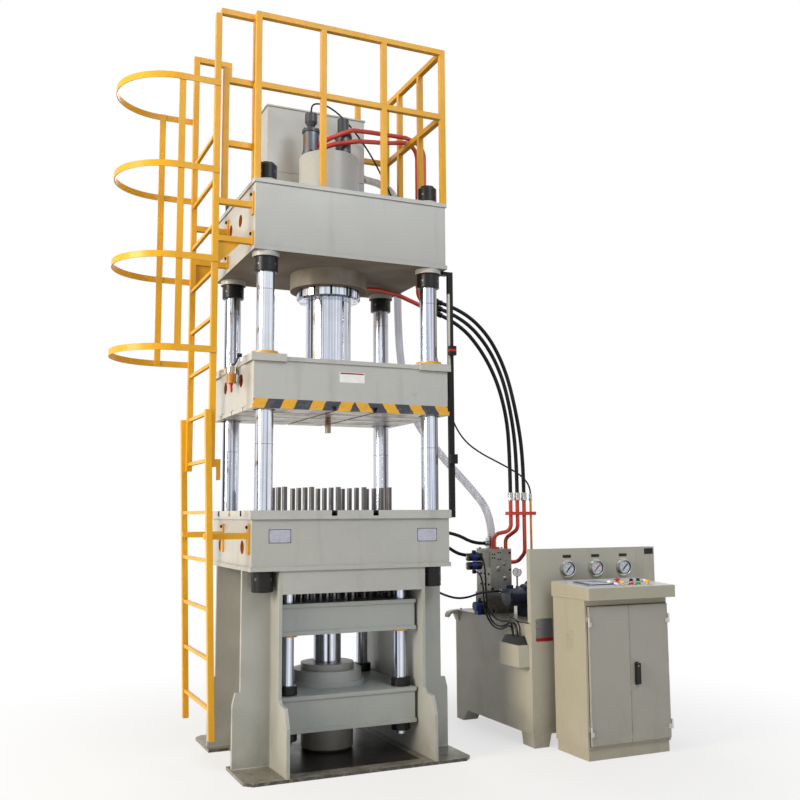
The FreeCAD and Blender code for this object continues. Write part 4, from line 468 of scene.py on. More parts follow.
def make_chrome(name, wearers, across, extra=None, marks=()):
    """Hard chrome with upright streaks of white, blue grey and dark: a painted reflection; marks are the
    heights of fine rings.
    """
    s = Shader(name, wearers)
    z = s.split()[2]
    # The ramp paints reflection streaks into the colour.
    bands = s.noise(1.0, 2.5, 0.55, s.stretched(across, across, 0.10))
    colour = s.ramp(bands, [(0.30, (40, 38, 40)), (0.37, (112, 112, 118)), (0.42, (196, 202, 216)),
                            (0.49, (234, 237, 244)), (0.54, (156, 170, 198)), (0.58, (212, 217, 228)),
                            (0.63, (134, 130, 130)), (0.70, (70, 60, 50))])
    for height in marks:
        colour = s.mix(s.times(s.within(z, height, height + 0.004), 0.7), colour, (90, 84, 80))
    smear = s.patches(9.0, 5.0, 0.65, 0.45, 0.7, 0.0, 0.15)
    colour = s.mix(smear, colour, (150, 138, 118))
    s.set(Base_Color=extra(s, colour, *s.split()) if extra else colour, Metallic=1.0)
    s.set(Roughness=s.mapped(bands, 0.3, 0.7, 0.10, 0.22))


def column_ends(s, base, x, y, z):
    """The tie columns' thread ends beyond their nuts, made dark."""
    foot = s.both(s.under(z, 1.17), s.over(s.size(x), 0.50))
    return s.mix(s.either(s.over(z, 3.905), foot), base, (52, 50, 48))


def gland_slots(s, base, x, y, z):
    """Painted shade in the spanner slots round the gland and on its lower lip."""
    square = s.plus(s.both(x, x), s.both(y, y))
    slots = s.both(s.within(square, 0.2175 ** 2, 0.2293 ** 2), s.over(z, 3.1425))
    lip = s.both(s.under(z, 3.1415), s.over(square, 0.2165 ** 2))
    return s.mix(s.times(lip, 0.5), s.mix(slots, base, (34, 30, 28)), (70, 60, 52))


def make_metal(name, wearers, colour, rough, grain=(60.0, 60.0, 60.0), extra=None, metallic=1.0, stain=0.0,
               gloss=0.5):
    """Turned or ground metal; the grain runs where its scale is small, stain is the share of brown."""
    s = Shader(name, wearers)
    x, y, z = s.split()
    marks = s.noise(1.0, 4.0, 0.6, s.stretched(*grain))
    base = shaded(s, colour, 0.86, 1.06, 6.0)
    base = s.mix(s.mapped(marks, 0.35, 0.65, 0.0, 0.30), base, tuple(0.62 * c for c in colour))
    if stain:
        base = s.mix(s.patches(11.0, 6.0, 0.7, 0.45, 0.62, 0.0, stain), base, (104, 78, 54))
    s.set(Metallic=metallic, Specular_IOR_Level=gloss)
    if extra:
        base = extra(s, base, x, y, z)
    s.set(Base_Color=base, Roughness=s.mapped(marks, 0.3, 0.7, rough - 0.06, rough + 0.12))
    s.bump(marks, 0.08, 0.0006)


def coated(s, mask, base, colour):
    """A colour over metal where the mask is 1, which doesn't shine like metal there."""
    s.set(Metallic=s.minus(1.0, mask))
    return s.mix(mask, base, colour)


def rail_marks(s, base, x, y, z):
    """A light strip on the dark bar, and black switches with a red cap."""
    strip = s.both(s.within(x, 0.7379, 0.752), s.within(z, 2.63, 3.16), s.over(y, -0.4625))
    base = s.mix(strip, base, (196, 192, 184))
    switch = s.under(y, -0.4625)
    red = s.both(switch, s.within(z, 2.742, 2.758))
    return s.mix(red, s.mix(switch, base, (24, 24, 25)), (190, 34, 26))


def bush_marks(s, base, x, y, z):
    """The wiper ring on top of each bush is amber."""
    return coated(s, s.over(z, 2.6364), base, (226, 168, 44))


def oiler_marks(s, base, x, y, z):
    """Amber bowl full of oil under a bright head."""
    bowl = s.both(s.under(z, 2.5495), s.under(x, -0.709))
    return coated(s, bowl, base, (196, 134, 46))


def fitting_marks(s, base, x, y, z):
    """The sleeves at the crown are black."""
    black = s.both(s.over(x, 0.9), s.within(z, 3.0, 3.4))
    return s.mix(black, base, (26, 26, 27))


def block_marks(s, base, x, y, z):
    """Darker and browner low down, in patches."""
    low = s.both(s.mapped(z, 1.12, 0.96), s.patches(8.0, 5.0, 0.7, 0.3, 0.6, 0.5, 0.9))
    return s.mix(low, base, (74, 62, 48))


def coil_marks(s, base, x, y, z):
    """Blue bands on black coils."""
    return s.mix(s.within(x, 1.206, 1.248), base, (38, 56, 138))


GAUGES = (1.588, 1.832, 2.076)
DIAL_Z = 1.208


def gauge_marks(s, base, x, y, z):
    """White dial in a bright rim with a dark inner edge."""
    dial = s.either(*[s.disc(x, z, centre, DIAL_Z, 0.0472) for centre in GAUGES])
    face = s.both(dial, s.within(y, -0.6325, -0.6315))
    return s.mix(face, coated(s, dial, base, (44, 44, 46)), (226, 232, 244))


def make_plastic(name, wearers, colour, rough=0.35, extra=None):
    s = Shader(name, wearers)
    base = shaded(s, colour, 0.94, 1.05, 20.0)
    if extra:
        base = extra(s, base, *s.split())
    s.set(Base_Color=base, Specular_IOR_Level=0.3)
    s.set(Roughness=s.patches(80.0, 2.0, 0.5, 0.3, 0.7, rough - 0.05, rough + 0.06))
    s.bump(s.noise(900.0, 1.0), 0.05, 0.0002)


def make_rubber():
    s = Shader("hose_rubber")
    dust_and_shade = s.patches(9.0, 6.0, 0.7, 0.45, 0.65, 0.0, 0.35)
    s.set(Base_Color=s.mix(dust_and_shade, (6, 6, 7), (32, 31, 30)), Specular_IOR_Level=0.20)
    s.set(Roughness=s.patches(40.0, 3.0, 0.5, 0.3, 0.7, 0.22, 0.40))
    s.bump(s.noise(420.0, 2.0), 0.12, 0.0006)


def make_clear_hose():
    """Wall of a clear suction hose: milky, glossy and see-through, with lengthwise streaks of painted
    reflection, tinted by oil at its upper end.
    """
    s = Shader("clear_hose")
    z = s.split()[2]
    # Lengthwise light and dark streaks: painted reflection.
    streaks = s.mapped(s.noise(1.0, 3.0, 0.6, s.stretched(46.0, 46.0, 2.0)), 0.40, 0.60)
    milk_and_reflection = s.mix(streaks, (244, 245, 255), (204, 202, 222))
    oil = s.both(s.over(z, 4.05), s.patches(6.0, 2.0, 0.5, 0.3, 0.7, 0.5, 0.9))
    s.set(Base_Color=s.mix(oil, milk_and_reflection, (200, 184, 150)), Roughness=0.14, Alpha=0.55)
    s.set(Coat_Weight=0.6, Coat_Roughness=0.06)


def screen_marks(s, base, x, y, z):
    """Pale blue fields on the operator's screen, with no words in them."""
    row, column = s.cycle(y, -1.02, 0.021), s.cycle(x, 1.465, 0.040)
    field = s.both(s.within(row, 0.14, 0.78), s.within(column, 0.08, 0.92))
    return s.mix(field, base, (236, 240, 255))


ZINC = ((190, 190, 186), 0.26, (90.0, 90.0, 90.0))
TURNED = (8.0, 8.0, 90.0)
make_chrome("hard_chrome", "tie_columns cushion_rod cushion_columns", 24.0, column_ends, (3.070, 2.052))
make_chrome("plunger_chrome", "plunger", 62.0)
make_chrome("gland_steel", "cylinder_gland", 26.0, gland_slots)
make_metal("pin_steel", "cushion_pins", (104, 105, 109), 0.34, (90.0, 90.0, 9.0), metallic=0.8, stain=0.22)
make_metal("black_oxide", "", (17, 15, 15), 0.24, (6.0, 6.0, 160.0), metallic=0.5, gloss=0.3)
make_metal("bronze", "slider_bushes", (176, 142, 84), 0.34, TURNED, bush_marks)
make_metal("guide_bronze", "cushion_bushes", (214, 158, 52), 0.36, TURNED, metallic=0.5)
make_metal("zinc_plate", "", *ZINC)
make_metal("fitting_steel", "hose_fittings", *ZINC, fitting_marks)
make_metal("oiler_steel", "lubricator", (190, 186, 176), 0.28, extra=oiler_marks)
make_metal("valve_block", "manifold_block", (182, 179, 170), 0.38, (12.0, 12.0, 60.0), block_marks, 0.35, 0.3)
make_metal("rail_steel", "position_rail", (30, 27, 25), 0.42, (60.0, 60.0, 4.0), rail_marks, 0.3, gloss=0.25)
make_metal("hose_wire", "", (96, 96, 108), 0.3)
make_metal("label_steel", "", (192, 194, 210), 0.35, metallic=0.2)
make_metal("plate_steel", "", (150, 152, 162), 0.30, (4.0, 4.0, 160.0), metallic=0.7)
make_metal("gauge_steel", "gauge_cases", (200, 200, 198), 0.20, (40.0, 40.0, 40.0), gauge_marks)

make_rubber()
make_clear_hose()
make_plastic("black_plastic", "tie_nuts cushion_nuts needle_left needle_right door_handle selector_left "
             "selector_right lubricator_lever", (20, 20, 22))
make_plastic("coil_plastic", "solenoid_valves", (26, 26, 28), extra=coil_marks)
make_plastic("red_plastic", "emergency_stop needle_middle", (200, 28, 24), 0.25)
make_plastic("yellow_plastic", "cycle_button_left cycle_button_right", (240, 196, 30), 0.25)
make_plastic("green_plastic", "start_button", (24, 150, 66), 0.25)
make_plastic("white_plastic", "", (240, 240, 240), 0.3)
make_plastic("plate_strip", "", (150, 30, 32), 0.4)
make_plastic("screen_bezel", "", (60, 66, 92), 0.4)
make_plastic("screen_key", "", (222, 226, 240))
make_plastic("screen_glass", "", (150, 160, 214), 0.08, screen_marks)


# Hoses: the routes of the CAD tubes, in metres

ROUTES = {
    "main_hose_1": (0.030, 1.590, [
        (1.015, 0.191, 3.150), (1.160, 0.160, 3.085), (1.330, 0.128, 2.890), (1.455, 0.098, 2.640),
        (1.508, 0.050, 2.340), (1.497, 0, 2.040), (1.497, 0, 1.760)]),
    "main_hose_2": (0.030, 1.672, [
        (1.017, 0.193, 3.200), (1.170, 0.165, 3.145), (1.360, 0.130, 2.965), (1.495, 0.098, 2.700),
        (1.548, 0.050, 2.380), (1.557, 0, 2.050), (1.557, 0, 1.760)]),
    "main_hose_3": (0.030, 1.752, [
        (1.018, 0.193, 3.250), (1.180, 0.165, 3.205), (1.390, 0.125, 3.020), (1.530, 0.095, 2.740),
        (1.592, 0.050, 2.400), (1.617, 0, 2.050), (1.617, 0, 1.760)]),
    "pilot_hose": (0.013, 3.880, [
        (-0.140, 0, 4.540), (-0.140, 0, 4.584), (-0.117, 0.011, 4.621), (-0.060, 0.038, 4.645),
        (0.022, 0.078, 4.653), (0.120, 0.126, 4.634), (0.225, 0.172, 4.580), (0.335, 0.217, 4.500),
        (0.440, 0.258, 4.404), (0.545, 0.300, 4.275), (0.650, 0.335, 4.120), (0.740, 0.365, 3.955),
        (0.805, 0.385, 3.775), (0.850, 0.392, 3.590), (0.890, 0.385, 3.400), (0.933, 0.362, 3.213),
        (0.983, 0.322, 3.030), (1.012, 0.287, 2.842), (1.043, 0.266, 2.655), (1.088, 0.252, 2.470),
        (1.140, 0.236, 2.290), (1.215, 0.195, 2.158), (1.325, 0.155, 2.072), (1.435, 0.120, 2.012),
        (1.545, 0.080, 1.950), (1.635, 0.042, 1.888), (1.677, 0, 1.806), (1.677, 0, 1.752)]),
    "suction_hose": (0.062, 3.339, [
        (0.400, 0.3725, 4.238), (0.605, 0.3725, 4.238), (0.772, 0.430, 4.085), (0.780, 0.480, 3.860),
        (0.775, 0.500, 3.560), (0.776, 0.503, 3.150), (0.795, 0.490, 2.770), (0.868, 0.455, 2.380),
        (1.075, 0.390, 2.080), (1.295, 0.310, 1.825), (1.450, 0.220, 1.600), (1.450, 0.220, 1.390)]),
    "cushion_hose_1": (0.026, 0.617, [
        (0.750, 0.200, 1.480), (0.900, 0.200, 1.480), (1.120, 0.180, 1.445), (1.250, 0.150, 1.372),
        (1.345, 0.150, 1.372)]),
    "cushion_hose_2": (0.026, 0.522, [
        (0.750, 0.205, 1.388), (0.880, 0.205, 1.388), (1.030, 0.205, 1.362), (1.160, 0.205, 1.280),
        (1.250, 0.205, 1.280)]),
    "pump_cable": (0.016, 0.765, [
        (0.560, -0.100, 1.085), (0.655, -0.100, 1.085), (0.775, -0.100, 1.056), (0.870, -0.100, 1.012),
        (0.965, -0.105, 0.985), (1.060, -0.110, 0.990), (1.150, -0.128, 1.022), (1.225, -0.150, 1.030),
        (1.300, -0.150, 1.030)]),
}

# Wires that only this script makes, from the coils and the pump to the hood on the terminal box

WIRES = {
    "valve_cable_1": (0.013, 1.021, [
        (1.232, 0.089, 1.306), (1.232, 0.035, 1.303), (1.234, -0.018, 1.268), (1.236, -0.045, 1.205),
        (1.236, -0.055, 1.120), (1.236, -0.057, 1.030), (1.236, -0.062, 0.945), (1.236, -0.085, 0.870),
        (1.236, -0.135, 0.815), (1.236, -0.205, 0.789), (1.236, -0.280, 0.788), (1.238, -0.345, 0.807),
        (1.240, -0.400, 0.832), (1.240, -0.455, 0.832), (1.240, -0.492, 0.796), (1.240, -0.498, 0.745)]),
    "valve_cable_2": (0.013, 0.825, [
        (1.232, 0.089, 1.161), (1.230, 0.045, 1.158), (1.226, -0.005, 1.128), (1.222, -0.038, 1.070),
        (1.220, -0.048, 0.990), (1.220, -0.060, 0.912), (1.220, -0.095, 0.845), (1.221, -0.150, 0.797),
        (1.222, -0.220, 0.772), (1.223, -0.290, 0.770), (1.224, -0.350, 0.790), (1.225, -0.400, 0.812),
        (1.225, -0.446, 0.796), (1.225, -0.456, 0.745)]),
    "valve_cable_3": (0.013, 0.548, [
        (1.250, 0.044, 0.948), (1.250, 0.003, 0.945), (1.250, -0.040, 0.918), (1.251, -0.085, 0.876),
        (1.252, -0.140, 0.844), (1.252, -0.205, 0.826), (1.252, -0.270, 0.824), (1.252, -0.330, 0.832),
        (1.252, -0.383, 0.826), (1.252, -0.412, 0.792), (1.252, -0.415, 0.745)]),
    "pump_wire": (0.010, 0.513, [
        (1.352, -0.206, 1.035), (1.350, -0.248, 1.032), (1.335, -0.285, 1.002), (1.305, -0.305, 0.955),
        (1.272, -0.318, 0.905), (1.250, -0.350, 0.868), (1.243, -0.405, 0.858), (1.243, -0.460, 0.860),
        (1.243, -0.508, 0.836), (1.243, -0.522, 0.790), (1.243, -0.522, 0.745)]),
}

WIRE_DIAMETER, WIRE_PITCH, WIRE_DEPTH = 0.0030, 0.021, 0.0017


def put(item, body="frame"):
    """Adds a piece and lets it ride on a body."""
    scene.collection.objects.link(item)
    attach(item, body)


def curve_through(name, points, diameter, kind, roundness):
    """A curve of one open spline, round as a hose where it has a diameter."""
    data = bpy.data.curves.new(name, "CURVE")
    data.dimensions = "3D"
    data.bevel_depth = diameter / 2
    data.bevel_resolution = roundness
    spline = data.splines.new(kind)
    spline.points.add(len(points) - 1)
    for point, place in zip(spline.points, points):
        point.co = (*place, 1)
    return bpy.data.objects.new(name, data)


def route_curve(name, points, diameter=0.0):
    """A smooth line along a route."""
    item = curve_through(name, points, diameter, "NURBS", 6)
    item.data.resolution_u = 10
    item.data.use_fill_caps = True
    spline = item.data.splines[0]
    spline.order_u = 3
    spline.use_endpoint_u = True
    return item


def line_of(points):
    """Points read from the route's own smooth line."""
    curve = route_curve("line", points)
    mesh = bpy.data.meshes.new_from_object(curve)
    line = [vertex.co.copy() for vertex in mesh.vertices]
    bpy.data.meshes.remove(mesh)
    bpy.data.objects.remove(curve)
    return line


def wire_helix(line, radius, pitch, steps=10):
    """The points of a wire wound round a line."""
    lengths = [0.0]
    for a, b in zip(line, line[1:]):
        lengths.append(lengths[-1] + (b - a).length)
    side = Vector((0, 0, 1)).cross(line[1] - line[0]).normalized()
    out = []
    count = int(lengths[-1] / pitch * steps)
    at = 0
    for index in range(count + 1):
        distance = lengths[-1] * index / count
        while at < len(line) - 2 and lengths[at + 1] < distance:
            at += 1
        along = (line[at + 1] - line[at]).normalized()
        side = (side - along * side.dot(along)).normalized()
        centre = line[at].lerp(line[at + 1], (distance - lengths[at]) / (lengths[at + 1] - lengths[at]))
        turn = 2 * math.pi * index / steps
        out.append(centre + (side * math.cos(turn) + along.cross(side) * math.sin(turn)) * radius)
    return out


def lay(piece, name, diameter, points):
    """A hose or wire along its route; a hose stands in for the CAD's tube."""
    suction = name == "suction_hose"
    item = route_curve(piece, points, diameter)
    item.data.materials.append(LOOKS["clear_hose" if suction else "hose_rubber"])
    put(item)
    if name in ROUTES:
        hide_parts(name)
    if suction:
        helix = wire_helix(line_of(points), diameter / 2 - WIRE_DEPTH, WIRE_PITCH)
        wire = curve_through("suction_hose_wire", helix, WIRE_DIAMETER, "POLY", 1)
        wire.data.materials.append(LOOKS["hose_wire"])
        put(wire)


for name, (diameter, length, points) in ROUTES.items():
    lay("hose_" + name, name, diameter, points)
for name, (diameter, length, points) in WIRES.items():
    lay(name, name, diameter, points)


# Small pieces, built as closed skins through rings of points

UP, FRONT, LEFT, RIGHT = (0, 0, 1), (0, -1, 0), (-1, 0, 0), (1, 0, 0)
BACKWARD = (0, 1, 0)
DIAGONALS = (45, 135, 225, 315)
SIGNS = [(sx, sy) for sx in (-1, 1) for sy in (-1, 1)]

# Levels of the faces that pieces sit on, and where the columns and the ladder stand

PANEL_Y, BEAM_Y, BLOCK_Y, DOOR_Y = -0.6122, -0.5232, 0.060, -1.084
BASE_TOP, TANK_TOP, CROWN_TOP, HEAD_TOP = 0.0205, 0.842, 3.802, 4.200
COLUMN_X, COLUMN_Y, LEG_SIDE = 0.595, 0.432, 0.5105
LADDER_SIDES = (-0.465, 0.205)


def aimed(place, out, up=UP):
    """The frame of a piece whose own z points out of the surface it sits on, and y up along it."""
    z = Vector(out).normalized()
    y = Vector(up) - z * Vector(up).dot(z)
    if y.length < 0.01:
        y = Vector(BACKWARD) - z * z.y
    y.normalize()
    return Matrix.Translation(place) @ Matrix((y.cross(z), y, z)).transposed().to_4x4()


def polar(degrees, radius=1.0):
    """The two coordinates of a point on a circle."""
    angle = math.radians(degrees)
    return radius * math.cos(angle), radius * math.sin(angle)


def circle(radius, level, count=20):
    return [(*polar(360 * i / count, radius), level) for i in range(count)]


def rectangle(width, height, corner, level, steps=4):
    """A rectangle with round corners, counterclockwise from the right."""
    out = []
    for index, (sx, sy) in enumerate(((1, 1), (-1, 1), (-1, -1), (1, -1))):
        for step in range(steps + 1):
            x, y = polar(90 * (index + step / steps), corner)
            out.append((sx * (width / 2 - corner) + x, sy * (height / 2 - corner) + y, level))
    return out


class Skin:
    """Collects rings into one mesh, and makes a piece of it."""

    def __init__(self):
        self.mesh = bmesh.new()

    def loft(self, rings, frame=Matrix.Identity(4), paints=None, loop=False):
        """A skin through the rings; paints gives the material's number for each band and the last cap."""
        rows = [[self.mesh.verts.new(frame @ Vector(point)) for point in ring] for ring in rings]
        pairs = list(zip(rows, rows[1:])) + ([(rows[-1], rows[0])] if loop else [])
        for band, (low, high) in enumerate(pairs):
            for i in range(len(low)):
                j = (i + 1) % len(low)
                face = self.mesh.faces.new((low[i], low[j], high[j], high[i]))
                face.material_index = paints[band] if paints else 0
        if not loop:
            self.mesh.faces.new(tuple(reversed(rows[0])))
            top = self.mesh.faces.new(tuple(rows[-1]))
            top.material_index = paints[-1] if paints else 0

    def turned(self, profile, frame, count=20, **more):
        """A skin through circles, each given as (radius, level)."""
        self.loft([circle(*size, count) for size in profile], frame, **more)

    def pressed(self, profile, frame, steps=4, **more):
        """A skin through rectangles, each given as (width, height, corner, level)."""
        self.loft([rectangle(*size, steps) for size in profile], frame, **more)

    def add(self, mesh, frame):
        """Another mesh, moved to its place."""
        before = len(self.mesh.faces)
        self.mesh.from_mesh(mesh)
        self.mesh.faces.ensure_lookup_table()
        for vert in {vert for face in self.mesh.faces[before:] for vert in face.verts}:
            vert.co = frame @ vert.co

    def piece(self, name, slot, *looks, body="frame"):
        bmesh.ops.recalc_face_normals(self.mesh, faces=self.mesh.faces)
        data = bpy.data.meshes.new(name)
        self.mesh.to_mesh(data)
        self.mesh.free()
        data.polygons.foreach_set("use_smooth", [True] * len(data.polygons))
        data.set_sharp_from_angle(angle=math.radians(32))
        for look in looks:
            data.materials.append(LOOKS[look])
        put(bpy.data.objects.new(name, data), body)


def hexagon_head(skin, place, out, across, high, washer=0.0):
    """A bolt head with a chamfered top, on a washer where it has one."""
    frame = aimed(place, out)
    reach = across / math.sqrt(3)
    if washer:
        skin.turned([(washer, 0), (washer, 0.0018), (washer * 0.94, 0.0024)], frame)
    base = 0.002 if washer else 0.0
    skin.turned([(reach, base), (reach, base + 0.86 * high), (0.82 * reach, base + high)], frame, 6)


def socket_head(skin, place, out, radius, high):
    """A cap screw with its socket."""
    skin.turned([(radius, 0), (radius, 0.85 * high), (0.88 * radius, high), (0.55 * radius, high),
                 (0.50 * radius, 0.45 * high)], aimed(place, out))


def weld(skin, points, radius, ripple=0.16, step=0.004, count=6):
    """A bead through points, which swells and shrinks along its way."""
    rings = []
    line = [Vector(point) for point in points]
    walked = 0.0
    for index, (a, b) in enumerate(zip(line, line[1:])):
        run = b - a
        parts = max(1, int(run.length / step))
        frame = aimed((0, 0, 0), run)
        for part in range(parts + (index == len(line) - 2)):
            share = part / parts
            here = radius * (1 + ripple * math.sin((walked + share * run.length) * 900))
            rings.append([a.lerp(b, share) + frame @ Vector(point) for point in circle(here, 0, count)])
        walked += run.length
    skin.loft(rings)


# Gauges

DIAL_Y = -0.6321
SWEEP_FROM, SWEEP, TICKS = 225, 270, 40
TICK_SIZES = ((10, 0.0085, 0.0016), (5, 0.006, 0.0010), (1, 0.004, 0.0006))


def add_number(skin, text, frame):
    words = bpy.data.curves.new("number", "FONT")
    words.body = text
    words.size = 0.0105
    words.align_x = "CENTER"
    words.align_y = "CENTER"
    words.extrude = 0.00015
    words.resolution_u = 2
    holder = bpy.data.objects.new("number", words)
    skin.add(bpy.data.meshes.new_from_object(holder), frame)
    bpy.data.objects.remove(holder)


def add_dials():
    """Ticks and numbers on the dials, and a rounded rim round each."""
    for index, x in enumerate(GAUGES):
        skin, rim = Skin(), Skin()
        centre = Vector((x, DIAL_Y, DIAL_Z))
        for step in range(TICKS + 1):
            across, rise = polar(SWEEP_FROM - SWEEP * step / TICKS)
            out = Vector((across, 0, rise))
            long, wide = next(size for every, *size in TICK_SIZES if step % every == 0)
            frame = aimed(centre + out * (0.0430 - long / 2), FRONT, out)
            skin.pressed([(wide, long, wide * 0.2, level) for level in (0, 0.0003)], frame, 1)
            if step % 10 == 0:
                add_number(skin, str(step), aimed(centre + out * 0.0285, FRONT))
        ring = [(0.0470, 0), (0.0470, 0.0003), (0.0438, 0.0003), (0.0438, 0)]
        skin.turned(ring, aimed(centre, FRONT), 60, loop=True)
        skin.piece("dial_%d" % index, "black_plastic", "black_plastic")
        rim.turned([(0.0474, 0.0285), (0.0478, 0.0312), (0.0494, 0.0325), (0.0512, 0.0325), (0.0528, 0.0310),
                    (0.0532, 0.0280), (0.0532, 0.0082), (0.0521, 0.0082), (0.0521, 0.0285)],
                   aimed((x, -0.612, DIAL_Z), FRONT), 64, loop=True)
        for corner in DIAGONALS:
            across, rise = polar(corner, 0.0572)
            socket_head(rim, (x + across, -0.620, DIAL_Z + rise), FRONT, 0.0028, 0.002)
        rim.piece("gauge_rim_%d" % index, "fitting_steel", "zinc_plate")


def add_plate(name, x0, x1, z0, z1, slot, *looks, y=PANEL_Y, body="frame", strip_side=0):
    """A riveted plate on a face that looks to the front; its strip is at the top (1) or at the foot (-1)."""
    wide, high = x1 - x0, z1 - z0
    skin = Skin()
    frame = aimed(((x0 + x1) / 2, y, (z0 + z1) / 2), FRONT)
    edge = 0.006 if min(wide, high) > 0.05 else 0.0015
    steps = ((0, -0.001), (0, 0.0008), (0.0016, 0.0014), (edge, 0.0014), (edge + 0.0006, 0.0010))
    skin.pressed([(wide - inset, high - inset, min(0.005, high / 5), level) for inset, level in steps],
                 frame, paints=(0, 0, 0, 0, 1))
    if strip_side:
        share = 0.14 * high
        middle = Matrix.Translation((0, strip_side * ((high - share) / 2 - edge / 2), 0))
        skin.pressed([(wide - edge - 0.001, share, 0.001, level) for level in (0.0008, 0.0013)],
                     frame @ middle, paints=(2, 2))
    if high > 0.05:
        for sx, sz in SIGNS:
            spot = frame @ Vector((sx * (wide / 2 - 0.0045), sz * (high / 2 - 0.0045), 0.0014))
            skin.turned([(0.0024, 0), (0.0020, 0.0007), (0.0009, 0.0011)], aimed(spot, FRONT), 10)
    skin.piece(name, slot, *looks, body=body)


def add_plates():
    black = ["black_plastic"] * 4
    label = ("fitting_steel", "black_plastic", "label_steel", "black_plastic")
    add_plate("slider_plate", -0.108, 0.071, 2.472, 2.541, "frame_paint", "white_plastic", "white_plastic",
              "plate_strip", y=BEAM_Y, body="slider", strip_side=1)
    add_plate("bolster_plate_left", -0.583, -0.437, 1.421, 1.508, *label, y=BEAM_Y)
    add_plate("bolster_plate_right", 0.454, 0.600, 1.417, 1.505, *label, y=BEAM_Y)
    add_plate("unit_plate", 1.313, 1.460, 0.712, 0.870, "fitting_steel", "zinc_plate", "plate_steel",
              "plate_strip", strip_side=-1)
    for index, x in enumerate(GAUGES):
        add_plate("gauge_label_%d" % index, x - 0.035, x + 0.035, 1.284, 1.305, *black)
    add_plate("unit_badge", 2.271, 2.350, 1.296, 1.338, *black)


# Fasteners


def add_set_screws():
    """Small screws in the sides of the round nuts."""
    skin = Skin()
    for sx, sy in SIGNS:
        for radius, z in ((0.079, 3.238), (0.070, 1.195), (0.067, 3.871)):
            for angle in (35, 125, 215, 305):
                out = Vector((*polar(angle), 0))
                place = Vector((sx * COLUMN_X, sy * COLUMN_Y, z)) + out * (radius - 0.0008)
                skin.turned([(0.0085, 0), (0.0085, 0.0014), (0.0060, 0.0018), (0.0052, 0.0008)],
                            aimed(place, out), 14)
    skin.piece("nut_screws", "fitting_steel", "pin_steel")


def add_ladder_tabs():
    """Flat tabs that the ladder's arms end in, each with a bolt into the beam."""
    tabs, bolts = Skin(), Skin()
    for y in LADDER_SIDES:
        for low, high in ((1.350, 1.540), (3.352, 3.450), (3.560, 3.716)):
            tall = high - low
            tabs.pressed([(0.046, tall, 0.008, 0), (0.046, tall, 0.008, 0.0130),
                          (0.043, tall - 0.003, 0.007, 0.0142)], aimed((-0.6938, y, (low + high) / 2), LEFT))
            hexagon_head(bolts, (-0.7080, y, high - 0.018), LEFT, 0.019, 0.009, 0.0125)
    tabs.piece("ladder_tabs", "guard_paint", "guard_enamel")
    bolts.piece("ladder_bolts", "black_steel", "black_oxide")


def add_fasteners():
    """Screws on the tank's cover, the cylinder's head, the position rail, the lubricator and the valves."""
    skin, oiler, drain, valves = Skin(), Skin(), Skin(), Skin()
    bolt_circle, bowl_x, bowl_y = 0.188, -0.746, -0.150
    lid = [(1.320 + index * 0.143, y) for index in range(8) for y in (0.505, -0.585) if y > 0 or index > 3]
    for x, y in lid + [(2.345, -0.56 + index * 0.195) for index in range(6)]:
        hexagon_head(skin, (x, y, TANK_TOP), UP, 0.013, 0.006, 0.010)
    for index in range(12):
        x, y = polar(30 * index, bolt_circle)
        if abs(y) > 0.4 * bolt_circle:
            hexagon_head(skin, (x, y, HEAD_TOP), UP, 0.030, 0.016, 0.022)
    for x in (0.700, 0.728):
        hexagon_head(skin, (x, -0.4635, 3.308), FRONT, 0.010, 0.005)
    skin.piece("cover_bolts", "black_steel", "black_oxide")
    for y in (-0.185, -0.115):
        for z in (2.490, 2.574):
            hexagon_head(oiler, (-0.706, y, z), LEFT, 0.010, 0.005, 0.0075)
    oiler.turned([(0.0345, 0), (0.0365, 0.003), (0.0365, 0.010), (0.0345, 0.013)],
                 aimed((bowl_x, bowl_y, 2.540), UP), 28)
    oiler.piece("oiler_screws", "fitting_steel", "zinc_plate", body="slider")
    drain.turned([(0.0130, 0), (0.0130, 0.010), (0.0085, 0.016), (0.0085, 0.048), (0.0060, 0.062)],
                 aimed((bowl_x, bowl_y, 2.4795), (0.05, 0, -1)), 16)
    drain.piece("oiler_drain", "red_plastic", "red_plastic", body="slider")
    for x in (-0.140, 0.112):
        for index in range(6):
            for radius, z, across in ((0.0625, 4.230, 0.014), (0.0575, 4.407, 0.012)):
                dx, y = polar(60 * index + 15, radius)
                hexagon_head(valves, (x + dx, y, z), UP, across, 0.008)
    valves.piece("valve_bolts", "black_steel", "black_oxide")


# Power unit


